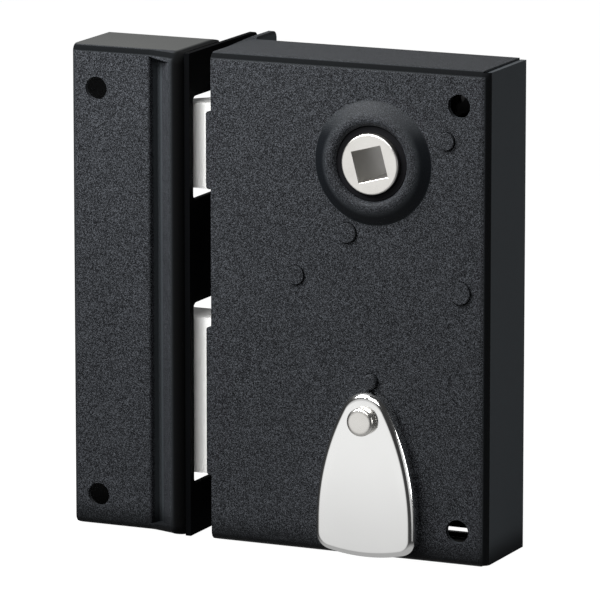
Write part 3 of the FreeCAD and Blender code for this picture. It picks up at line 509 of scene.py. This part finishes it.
def roundedLoop(bm, corners, radius, segments=6):
    # the edges of a flat loop whose corners are rounded
    square = bm.faces.new([bm.verts.new(corner) for corner in corners])
    made = bmesh.ops.bevel(bm, geom=list(square.verts), offset=radius, offset_type="OFFSET",
                           affect="VERTICES", segments=segments, profile=0.5, material=-1)
    return openFace(bm, made["verts"][0].link_faces[0])


def spinProfile(bm, points, x, z, segments):
    # points are (radius, y) from one end to the other, turned about an axis along Y
    edges = drawPath(bm, [(x + radius, y, z) for radius, y in points])
    verts = list({v for edge in edges for v in edge.verts})
    bmesh.ops.spin(bm, geom=verts + edges, cent=(x, 0, z), axis=(0, 1, 0), dvec=(0, 0, 0),
                   angle=2 * math.pi, steps=segments, use_merge=True)
    bmesh.ops.remove_doubles(bm, verts=bm.verts, dist=fineWeld)


# Case cover

caseSheet = {
    "front": -24.5,
    "thickness": 1.5,
    "bend": 2.2,
    "grainEnd": -24.3,      # the pebbled coat ends here, towards the door
    # the top flange's own tone, set apart from the side flanges as painted light and shade
    "topPaintedLight": (0.0225, 0.0240, 0.0250, 1),
    "specular": 0.07,
    "leftRound": 0.35,
    "slit": 0.3,            # between an end flange and the side flange at the folded corners
    "step": 0.4,            # by which the side flange ends lower
    "tongueReach": 1.2,
    "tongueCorner": 0.8,
    "tongues": [(10.0, -10.0), (-45.5, -84.0)],     # heights of the tongues' ends
    "screwHoles": [(23.2, 15.9), (23.2, -92.2)],
    "screwRadius": 3.0,
    "rivetRise": 0.3,
    "forendTuck": 0.3,
    "rivets": [("latch_guide_post", 2.75), ("left_case_post", 2.6), ("right_case_post", 3.05),
               ("upper_case_post", 2.45)],
    "pin": (-0.6, -65.0, 2.55),     # x, z and radius of its hole
    "stud": (-0.5, -55.7, 2.15),
    "keyhole": (-79.0, 3.3, 1.6, 11.0),     # height, radius, half the slot's width, its reach
    # radius and rise, from the foot over the rim and down into the bush's hole
    "bossProfile": [(16.0, 0.0), (15.85, 0.03), (15.6, 0.13), (15.3, 0.29), (14.4, 0.80), (13.6, 1.26),
                    (12.9, 1.64), (12.3, 1.93), (11.8, 2.10), (11.3, 2.19), (10.8, 2.16), (10.35, 2.0),
                    (9.95, 1.70), (9.7, 1.3), (9.6, 0.85), (9.6, 0.2), (9.6, -0.6)],
    "bossSteps": 112,
    "edge": 0.16,
}
casePowder = powderCoat("casePowderCoat", caseSheet, (caseTop, caseBottom, caseLeft, caseRight), boss=True)


def tongueOutline(high, low):
    # the outline of one tongue, from its top to its bottom
    s = caseSheet
    root = caseLeft + s["leftRound"]
    reach = caseLeft - s["tongueReach"]
    r = s["tongueCorner"]
    turns = [math.pi / 2 * step / 4 for step in range(5)]
    upper = [(reach + r - r * math.sin(t), s["front"], high - r + r * math.cos(t)) for t in turns]
    lower = [(reach + r - r * math.cos(t), s["front"], low + r - r * math.sin(t)) for t in turns]
    return [(root, s["front"], high)] + upper + lower + [(root, s["front"], low)]


def keyholeOutline(y, steps=24):
    height, radius, half, reach = caseSheet["keyhole"]
    start = math.asin(half / radius)
    turns = [start + (2 * math.pi - 2 * start) * step / steps for step in range(steps + 1)]
    points = [(-radius * math.sin(t), y, height - radius * math.cos(t)) for t in turns]
    return points + [(half, y, height - reach), (-half, y, height - reach), points[0]]


def cutFaces(bm, faces, place, normal):
    parts = list({item for f in faces for item in list(f.verts) + list(f.edges)}) + list(faces)
    bmesh.ops.bisect_plane(bm, geom=parts, dist=hair, plane_co=place, plane_no=normal)


def facesPast(bm, slitPlace, ledge, way):
    # faces that reach past the slit and above the side flange's end
    return [f for f in bm.faces
            if any(v.co.x > slitPlace and way * (v.co.z - ledge) > hair for v in f.verts)]


def cutCorner(bm, way, end):
    # opens the folded corner between an end flange and the side flange
    s = caseSheet
    slitPlace = caseRight - s["thickness"] - s["slit"]
    ledge = end - way * s["step"]
    cutFaces(bm, facesPast(bm, slitPlace, ledge, way), (slitPlace, 0, 0), (1, 0, 0))
    cutFaces(bm, facesPast(bm, slitPlace, ledge, way), (0, 0, ledge), (0, 0, 1))
    gone = [f for f in facesPast(bm, slitPlace, ledge, way)
            if f.calc_center_median().x > slitPlace and way * (f.calc_center_median().z - ledge) > 0]
    bmesh.ops.delete(bm, geom=gone, context="FACES")


def openTongues(bm):
    # the rounded left edge stops where a tongue carries the front sheet on over the forend
    s = caseSheet
    root = caseLeft + s["leftRound"]
    for high, low in s["tongues"]:
        for z in (high, low):
            rounding = [f for f in bm.faces if all(v.co.x < root + hair for v in f.verts)]
            cutFaces(bm, rounding, (0, 0, z), (0, 0, 1))
        gone = [f for f in bm.faces if all(v.co.x < root + hair for v in f.verts)
                and low < f.calc_center_median().z < high]
        bmesh.ops.delete(bm, geom=gone, context="FACES")


def flatFront(bm):
    return max((f for f in bm.faces if abs(f.normal.y) > 0.99), key=lambda f: f.calc_area())


def buildCaseCover():
    s = caseSheet
    front = s["front"]
    bm = bmesh.new()
    plan = [(caseLeft, front + s["leftRound"] + 0.1), (caseLeft, front), (caseRight, front), (caseRight, 0)]
    low = caseBottom + s["bend"]
    high = caseTop - s["bend"]
    riseSheet(bm, plan, low, high, [
        ((caseLeft, front), s["leftRound"], 5),
        ((caseRight, front), s["bend"], 7)])
    for level, way in ((high, 1), (low, -1)):
        bendEnd(bm, level, way, lambda x: s["bend"], lambda x: 0, (caseRight, caseLeft))
    for end, way in ((caseTop, 1), (caseBottom, -1)):
        cutCorner(bm, way, end)
    openTongues(bm)
    openFace(bm, flatFront(bm))
    loose = [e for e in bm.edges if not e.link_faces]
    bmesh.ops.delete(bm, geom=loose, context="EDGES")
    for tongueHigh, tongueLow in s["tongues"]:
        drawPath(bm, tongueOutline(tongueHigh, tongueLow))
    for x, z in s["screwHoles"]:
        drawCircle(bm, x, z, front, s["screwRadius"])
    for node, radius in s["rivets"]:
        middle = (lowOf(node) + highOf(node)) / 2
        drawCircle(bm, middle.x, middle.z, front, radius, 32)
    for x, z, radius in (s["pin"], s["stud"]):
        drawCircle(bm, x, z, front, radius, 32)
    drawPath(bm, keyholeOutline(front))
    profile = [(radius, front - rise) for radius, rise in s["bossProfile"]]
    spinProfile(bm, profile, 0, 0, s["bossSteps"])
    bmesh.ops.remove_doubles(bm, verts=bm.verts, dist=weld)
    edges = openEdges(bm, lambda co: sameSpot(co.y, front) and low - hair < co.z < high + hair)
    fillFlat(bm, edges, (0, -1, 0))
    faceOutwards(bm, (0, -1, 0))
    piece = makePiece("caseCover", bm, "lock_case", casePowder, "case_cover")
    addShell(piece, s["thickness"])
    softenEdges(piece, s["edge"])


buildCaseCover()
print("case cover made")


# Keeper cover

keeperSheet = {
    "front": -22.3,
    "thickness": 1.4,
    "bend": 1.8,
    "grainEnd": -21.2,
    # the top flange's own tone, set apart from the side flanges as painted light and shade
    "topPaintedLight": (0.0330, 0.0340, 0.0330, 1),
    "specular": 0.06,
    "ridgeBend": 2.7,       # the end bend opens out towards the ridge
    "plateEnd": -63.1,
    "edgeRound": 0.55,
    "valley": (-62.2, -18.6),       # in plan
    "valleyRound": 0.7,
    "ridge": (-55.0, -23.1, 2.4),   # its centre in plan and its radius
    "ridgeSteps": 14,
    "lipDrop": 0.5,         # of the end flange's front, below the ridge's crest
    "backRound": 2.8,
    "capGap": 0.35,         # between the end flange and the strike plate
    "screwX": -78.1,
    "screwHeights": [13.3, -92.7],
    "screwRadius": 3.0,
    "edge": 0.16,
}
ridgeSide = keeperSheet["ridge"][0] + keeperSheet["ridge"][2]
keeperPowder = powderCoat("keeperPowderCoat", keeperSheet, (keeperTop, keeperBottom, keeperLeft, ridgeSide))


def ridgeArc():
    # in plan, from the valley round to the strike plate
    x, y, radius = keeperSheet["ridge"]
    steps = keeperSheet["ridgeSteps"]
    turns = [math.radians(-45 + 135 * step / steps) for step in range(steps + 1)]
    return [(x + radius * math.sin(t), y - radius * math.cos(t)) for t in turns]


def lipLine(x):
    # the front of the end flange: straight from the plate's edge to the crest of the ridge
    s = keeperSheet
    crestX, crestY, radius = s["ridge"]
    if x < s["plateEnd"] - s["bend"] or x >= crestX:
        return math.inf
    if x <= s["plateEnd"]:
        return s["front"]
    share = (x - s["plateEnd"]) / (crestX - s["plateEnd"])
    return s["front"] + share * (crestY - radius + s["lipDrop"] - s["front"])


def keeperBendAt(x):
    s = keeperSheet
    share = (x - s["plateEnd"]) / (s["ridge"][0] - s["plateEnd"])
    return s["bend"] + (s["ridgeBend"] - s["bend"]) * min(1, max(0, share))


def keeperBackEdge():
    # the outline of an end flange from the left side round the back to the strike side
    s = keeperSheet
    ridgeEnd = ridgeArc()[-1]
    side = ridgeEnd[0] - s["capGap"]
    r = s["backRound"]
    turns = [math.pi / 2 * step / 6 for step in range(7)]
    corner = [(side - r + r * math.sin(t), -r + r * math.cos(t)) for t in turns]
    bent = ridgeEnd[1] + keeperBendAt(ridgeEnd[0])
    return [(keeperLeft, 0)] + corner + [(side, bent + s["capGap"]), (ridgeEnd[0], bent)]


def buildKeeperCover():
    s = keeperSheet
    front = s["front"]
    bm = bmesh.new()
    plan = [(keeperLeft, 0), (keeperLeft, front), (s["plateEnd"], front), s["valley"]] + ridgeArc()
    low = keeperBottom + s["bend"]
    high = keeperTop - s["bend"]
    riseSheet(bm, plan, low, high, [
        ((keeperLeft, front), s["bend"], 7),
        ((s["plateEnd"], front), s["edgeRound"], 4),
        (s["valley"], s["valleyRound"], 4)])
    strikeSide = ridgeArc()[-1][0]
    for level, way in ((high, 1), (low, -1)):
        bendEnd(bm, level, way, keeperBendAt, lipLine, (keeperLeft, strikeSide), keeperBackEdge())
    edges = openFace(bm, flatFront(bm))
    for z in s["screwHeights"]:
        edges += drawCircle(bm, s["screwX"], z, front, s["screwRadius"])
    fillFlat(bm, edges, (0, -1, 0))
    faceOutwards(bm, (0, -1, 0))
    piece = makePiece("keeperCover", bm, "keeper", keeperPowder, "keeper_cover")
    addShell(piece, s["thickness"])
    softenEdges(piece, s["edge"])


buildKeeperCover()
print("keeper cover made")


# Strike plate of the keeper

strike = {
    "thickness": 1.5,
    "front": -23.8,
    "back": 17.4,
    "corner": 2.0,
    "windowFront": -21.65,
    "windowBack": -4.95,
    "windowRound": 1.5,
    "windows": [(-13.7, 12.9), (-87.5, -40.4)],
    "screwY": 8.7,
    "screwInset": 12.5,
    "screwRadius": 2.2,
    "edge": 0.42,
}


def buildStrikePlate():
    s = strike
    bm = bmesh.new()
    x = strikeFace
    r = s["corner"]
    edges = drawPath(bm, [(x, s["back"] - r, keeperTop), (x, s["front"], keeperTop),
                          (x, s["front"], keeperBottom), (x, s["back"] - r, keeperBottom)])
    turns = [math.pi / 2 * step / 6 for step in range(7)]
    for z, way in ((keeperBottom, 1), (keeperTop, -1)):
        edges += drawPath(bm, [(x, s["back"] - r * (1 - math.sin(t)), z + way * r * (1 - math.cos(t)))
                               for t in turns])
    edges += drawPath(bm, [(x, s["back"], keeperBottom + r), (x, s["back"], keeperTop - r)])
    for low, high in s["windows"]:
        corners = [(x, s["windowFront"], low), (x, s["windowBack"], low), (x, s["windowBack"], high),
                   (x, s["windowFront"], high)]
        edges += roundedLoop(bm, corners, s["windowRound"])
    for z in (keeperBottom + s["screwInset"], keeperTop - s["screwInset"]):
        edges += drawCircle(bm, x, z, s["screwY"], s["screwRadius"], 32, "Y")
    bmesh.ops.remove_doubles(bm, verts=bm.verts, dist=weld)
    fillFlat(bm, list(bm.edges), (1, 0, 0))
    faceOutwards(bm, (1, 0, 0))
    piece = makePiece("strikePlate", bm, "keeper", strikeCoat, "keeper_strike_plate")
    addShell(piece, s["thickness"])
    softenEdges(piece, s["edge"], 3)


buildStrikePlate()
print("strike plate made")


# Swing cover and its pin

swing = {
    "x": -0.6,
    "z": -65.0,
    "front": -28.9,
    "rim": -24.8,
    "thickness": 1.0,
    "topRadius": 7.0,
    "wide": 13.7,
    "wideDrop": 27.0,
    "cornerDrop": 29.8,
    "bottomDrop": 35.4,
    "cornerRadius": 4.6,
    "edge": 1.9,
    "innerEdge": 0.12,
    "crown": [(0.9, 0.09), (0.9, 0.06)],        # how far in and how high, one after the other
    "hole": 2.6,
}


def arcPoints(centre, start, end, steps):
    # points on an arc about centre, from the angle of start to the angle of end, the short way
    radius = (Vector(start) - Vector(centre)).length
    first = math.atan2(start[1] - centre[1], start[0] - centre[0])
    last = math.atan2(end[1] - centre[1], end[0] - centre[0])
    turn = (last - first + math.pi) % (2 * math.pi) - math.pi
    return [(centre[0] + radius * math.cos(first + turn * i / steps),
             centre[1] + radius * math.sin(first + turn * i / steps)) for i in range(steps)]


def swingOutline():
    # half of the drop shape by arcs that run into each other, then its mirror image
    s = swing
    wide, top, corner = s["wide"], s["topRadius"], s["cornerRadius"]
    sideRadius = (wide ** 2 + s["wideDrop"] ** 2 - top ** 2) / (2 * (wide - top))
    sideCentre = (wide - sideRadius, -s["wideDrop"])
    cornerCentre = (wide - corner, -s["cornerDrop"])
    rise = s["bottomDrop"] - s["cornerDrop"]
    footRadius = (cornerCentre[0] ** 2 + rise ** 2 - corner ** 2) / (2 * (rise - corner))
    footCentre = (0, footRadius - s["bottomDrop"])
    joint = (-Vector(sideCentre)).normalized() * top
    foot = Vector(cornerCentre) + (Vector(cornerCentre) - Vector(footCentre)).normalized() * corner
    half = arcPoints((0, 0), (0, top), joint, 14)
    half += arcPoints(sideCentre, joint, (wide, -s["wideDrop"]), 18)
    half += [(wide, -s["wideDrop"])]
    half += arcPoints(cornerCentre, (wide, -s["cornerDrop"]), foot, 10)
    half += arcPoints(footCentre, foot, (0, -s["bottomDrop"]), 8)
    half += [(0, -s["bottomDrop"])]
    return half + [(-x, z) for x, z in reversed(half[1:-1])]


def buildSwingCover():
    s = swing
    bm = bmesh.new()
    outline = [bm.verts.new((s["x"] + x, s["rim"], s["z"] + z)) for x, z in swingOutline()]
    face = bm.faces.new(outline)
    lifted = newVerts(bmesh.ops.extrude_face_region(bm, geom=[face]))
    bmesh.ops.translate(bm, verts=lifted, vec=(0, s["front"] - s["rim"], 0))
    back = [f for f in bm.faces if all(sameSpot(v.co.y, s["rim"]) for v in f.verts)]
    bmesh.ops.delete(bm, geom=back, context="FACES_ONLY")
    bmesh.ops.bevel(bm, geom=edgesBetween(bm, lifted), offset=s["edge"], offset_type="OFFSET",
                    affect="EDGES", segments=8, profile=0.5, material=-1)
    face = max(bm.faces, key=lambda f: f.calc_area())
    for inset, rise in s["crown"]:
        bmesh.ops.inset_region(bm, faces=[face], thickness=inset, use_even_offset=True, use_boundary=True)
        bmesh.ops.translate(bm, verts=face.verts, vec=(0, -rise, 0))
    top = face.verts[0].co.y
    edges = openFace(bm, face) + drawCircle(bm, s["x"], s["z"], top, s["hole"], 32)
    fillFlat(bm, edges, (0, -1, 0))
    faceOutwards(bm, (0, -1, 0))
    piece = makePiece("swingCover", bm, "swing_cover", chrome, "swing_cover")
    addShell(piece, s["thickness"])
    softenEdges(piece, s["innerEdge"], 2, 60)


pin = {
    "edge": 0.1,
    "profile": [(0.0, -31.66), (2.4, -31.64), (2.95, -31.58), (3.3, -31.42), (3.52, -31.2), (3.6, -30.9),
                (3.6, -29.35), (3.5, -29.2), (2.5, -29.15), (2.5, -27.7), (3.9, -27.7), (3.9, -24.5),
                (2.5, -24.5), (2.5, -23.0), (3.3, -23.0), (3.3, -22.3), (0.0, -22.3)],
}


def buildSwingPin():
    bm = bmesh.new()
    spinProfile(bm, pin["profile"], swing["x"], swing["z"], 64)
    bmesh.ops.recalc_face_normals(bm, faces=bm.faces)
    piece = makePiece("swingCoverPin", bm, "lock_case", pinNickel, "swing_cover_pin")
    softenEdges(piece, pin["edge"], 2, 50)


buildSwingCover()
buildSwingPin()
print("swing cover and pin made")


# Nodes that keep their shape: each gets its finish, and a softened copy where its edges show

finishes = {
    "forend_plate": casePowder, "back_plate": backCoat,
    "latch_guide_post": casePowder, "left_case_post": casePowder, "right_case_post": casePowder,
    "upper_case_post": casePowder, "swing_stop_stud": casePowder,
    "back_plate_screws": zinc, "forend_screws": zinc,
    "follower": nickel, "follower_front_bush": plastic, "follower_rear_bush": plastic,
    "latch_head": zinc, "dead_bolt_head": zinc,
    "lever_post": steel, "latch_tail": steel, "dead_bolt_tail": steel, "latch_rivets": steel,
    "dead_bolt_rivets": steel, "bolt_stump": steel, "latch_spring_pin": steel,
    "latch_spring": wire, "lever_springs": wire,
    "lever_1": brass, "lever_2": brass, "lever_3": brass, "lever_4": brass,
}


def dressNodes():
    for name, material in finishes.items():
        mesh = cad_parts[name].data
        mesh.materials.clear()
        mesh.materials.append(material)


def tuckForend(bm):
    # the forend's ends stand out only behind the case, and lie under its flanges in front
    tuck = caseSheet["forendTuck"]
    for y in (0.0, 0.25):
        parts = list(bm.verts) + list(bm.edges) + list(bm.faces)
        bmesh.ops.bisect_plane(bm, geom=parts, dist=hair, plane_co=(0, y, 0), plane_no=(0, 1, 0))
    for vert in bm.verts:
        if vert.co.y < hair:
            vert.co.z = min(caseTop - tuck, max(caseBottom + tuck, vert.co.z))


def raiseRivet(bm):
    # the riveted end stands a little proud of the front sheet
    for vert in bm.verts:
        if vert.co.y < caseSheet["front"] + 0.1:
            vert.co.y -= caseSheet["rivetRise"]


softened = [
    # node, body, slot, width of the rounded edges, change of shape
    ("forend_plate", "lock_case", "black_powder_coat", 0.3, tuckForend),
    ("back_plate", "lock_case", "black_powder_coat", 0.2, None),
    ("latch_guide_post", "lock_case", "black_powder_coat", 0.15, raiseRivet),
    ("left_case_post", "lock_case", "black_powder_coat", 0.15, raiseRivet),
    ("right_case_post", "lock_case", "black_powder_coat", 0.15, raiseRivet),
    ("upper_case_post", "lock_case", "black_powder_coat", 0.15, raiseRivet),
    ("swing_stop_stud", "lock_case", "black_powder_coat", 0.2, None),
    ("follower_front_bush", "lock_case", "black_plastic", 0.2, None),
    ("follower_rear_bush", "lock_case", "black_plastic", 0.2, None),
    ("follower", "follower", "nickel_steel", 0.2, None),
    ("latch_head", "latch", "zinc_steel", 0.25, None),
    ("latch_tail", "latch", "plain_steel", 0.12, None),
    ("dead_bolt_head", "dead_bolt", "zinc_steel", 0.3, None),
    ("dead_bolt_tail", "dead_bolt", "plain_steel", 0.15, None),
    ("lever_1", "levers", "lever_brass", 0.1, None),
    ("lever_2", "levers", "lever_brass", 0.1, None),
    ("lever_3", "levers", "lever_brass", 0.1, None),
    ("lever_4", "levers", "lever_brass", 0.1, None),
]


def softCopy(node, body, slot, width, change):
    # the node's own shape with its sharp edges rounded
    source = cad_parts[node]
    bm = bmesh.new()
    bm.from_mesh(source.data)
    bmesh.ops.transform(bm, matrix=source.matrix_world, verts=bm.verts)
    bmesh.ops.scale(bm, vec=(1 / mm, 1 / mm, 1 / mm), verts=bm.verts)
    bmesh.ops.remove_doubles(bm, verts=bm.verts, dist=fineWeld)
    if change:
        change(bm)
    bmesh.ops.dissolve_limit(bm, angle_limit=math.radians(1.0), use_dissolve_boundaries=False,
                             verts=bm.verts, edges=bm.edges, delimit=set())
    words = node.split("_")
    name = words[0] + "".join(word.capitalize() for word in words[1:])
    softenEdges(makePiece(name, bm, body, finishes[node], node), width, 2, 32)


dressNodes()
for entry in softened:
    softCopy(*entry)
print("nodes dressed")


# Floor, lamps, world and camera

studio = {
    "floorColor": (0.30, 0.30, 0.30, 1),        # for the light it throws back; the camera sees white
    "floorSize": 3.0,
    "cameraGlow": 0.82,         # how much of the floor's white is its own
    "whiteness": 1.22,
    # what polished metal mirrors: a bright window over a dim ground, and a strip at the right
    "window": (0.407, 0.892, 0.195),
    "windowEdge": (0.78, 0.965),
    "strip": (-0.951, 0.309, 0.0),
    "stripEdge": (0.945, 0.98),
    "dim": 0.05,
    "inFloor": {"window": 0.95, "steep": 0.40, "rear": 0.03, "strip": 0.6},
    "inSky": {"window": 0.8, "rear": 0.42, "strip": 0.9},
    "ambient": 0.04,
    "ambientLeft": 0.09,
}


def rayKinds(tree):
    rays = tree.nodes.new("ShaderNodeLightPath")
    return [Wire(tree, rays.outputs["Is " + kind + " Ray"]) for kind in ("Camera", "Glossy", "Transmission")]


def towards(ray, goal):
    # 1 where a mirrored ray leaves against goal, 0 past its edge
    return ray.vector("DOT_PRODUCT", {1: studio[goal]}, 1).smooth(*studio[goal + "Edge"])


def buildFloor():
    bm = bmesh.new()
    bmesh.ops.create_grid(bm, x_segments=1, y_segments=1, size=studio["floorSize"])
    bmesh.ops.translate(bm, verts=bm.verts, vec=(0, 0, lowOf("forend_plate").z * mm))
    mesh = bpy.data.meshes.new("floor")
    bm.to_mesh(mesh)
    bm.free()
    floor = addObject("floor", mesh)
    material = bpy.data.materials.new("paleFloor")
    tree = emptyTree(material)
    camera, glossy, through = rayKinds(tree)
    incoming = Wire(tree, tree.nodes.new("ShaderNodeNewGeometry").outputs["Incoming"])
    place = Wire(tree, tree.nodes.new("ShaderNodeTexCoord").outputs["Object"])
    shine = studio["inFloor"]
    away = place.vector("MULTIPLY", {1: (1, 1, 0)}).vector("LENGTH", {}, 1)
    table = towards(incoming, "window") * (away.smooth(0.02, 0.17) * 0.25 + 0.75) * shine["window"]
    steep = incoming.part(2).smooth(0.30, 0.75) * shine["steep"]
    rear = place.part(1).smooth(0.05, 0.30) * shine["rear"]
    mirrored = table.over(steep) + rear + studio["dim"] + towards(incoming, "strip") * shine["strip"]
    strength = camera * studio["whiteness"] + glossy * mirrored + through
    glow = camera.make("ShaderNodeEmission", {}, {"Color": (1, 1, 1, 1), "Strength": strength})
    matte = camera.make("ShaderNodeBsdfDiffuse", {}, {"Color": studio["floorColor"]})
    share = camera * studio["cameraGlow"] + glossy + through
    mixed = camera.make("ShaderNodeMixShader", {}, {0: share, 1: matte, 2: glow})
    output = tree.nodes.new("ShaderNodeOutputMaterial")
    tree.links.new(mixed.socket, output.inputs["Surface"])
    mesh.materials.append(material)


def buildWorld():
    world = bpy.data.worlds.new("studioWorld")
    bpy.context.scene.world = world
    tree = emptyTree(world)
    camera, glossy, through = rayKinds(tree)
    direction = Wire(tree, tree.nodes.new("ShaderNodeTexCoord").outputs["Generated"])
    shine = studio["inSky"]
    flipped = direction.vector("SCALE", {3: -1.0})
    sweep = towards(flipped, "window") * shine["window"]
    rear = direction.part(1).smooth(0.1, 0.7) * shine["rear"]
    mirrored = sweep + rear + studio["dim"] + towards(flipped, "strip") * shine["strip"]
    other = camera + through + glossy
    diffuse = 1 - other.maths("MINIMUM", other, 1.0)
    fromLeft = direction.part(0) * -0.5 + 0.5
    ambient = fromLeft * studio["ambientLeft"] + studio["ambient"]
    strength = camera + through + glossy * mirrored + diffuse * ambient
    background = tree.nodes.new("ShaderNodeBackground")
    tree.links.new(strength.socket, background.inputs["Strength"])
    output = tree.nodes.new("ShaderNodeOutputWorld")
    tree.links.new(background.outputs["Background"], output.inputs["Surface"])


lamps = [
    # name, place, side of the square, watts
    ("keyPanel", (-0.16, -0.18, 0.22), 0.18, 3.5),
    ("frontPanel", (0.02, -0.45, 0.34), 0.3, 1.7),
    ("sidePanel", (0.70, 0.12, 0.02), 0.3, 2.2),
]
lampAim = (-0.02, -0.02, -0.038)        # the middle of the lock


def buildLamps():
    for name, place, side, watts in lamps:
        light = bpy.data.lights.new(name, "AREA")
        light.shape = "RECTANGLE"
        light.size = light.size_y = side
        light.energy = watts
        lamp = addObject(name, light)
        lamp.location = place
        lamp.rotation_euler = (Vector(lampAim) - Vector(place)).to_track_quat("-Z", "Y").to_euler()


shot = {
    "yaw": 24.522,
    "pitch": 11.259,
    "target": (-20.068, -24.5, -36.458),
    "distance": 1558.97,
    "lens": 371.3,
    "sensor": 36.0,
    "clip": (0.01, 20.0),
}


def buildCamera():
    data = bpy.data.cameras.new("camera")
    data.lens = shot["lens"]
    data.sensor_width = shot["sensor"]
    data.clip_start, data.clip_end = shot["clip"]
    camera = addObject("camera", data)
    yaw = math.radians(shot["yaw"])
    pitch = math.radians(shot["pitch"])
    back = Vector((math.sin(yaw) * math.cos(pitch), -math.cos(yaw) * math.cos(pitch), math.sin(pitch)))
    camera.location = (Vector(shot["target"]) + back * shot["distance"]) * mm
    camera.rotation_euler = (math.pi / 2 - pitch, 0, yaw)
    bpy.context.scene.camera = camera


buildFloor()
buildWorld()
buildLamps()
buildCamera()
bpy.context.scene.view_settings.view_transform = "Standard"
print("studio made")


bpy.context.view_layer.update()
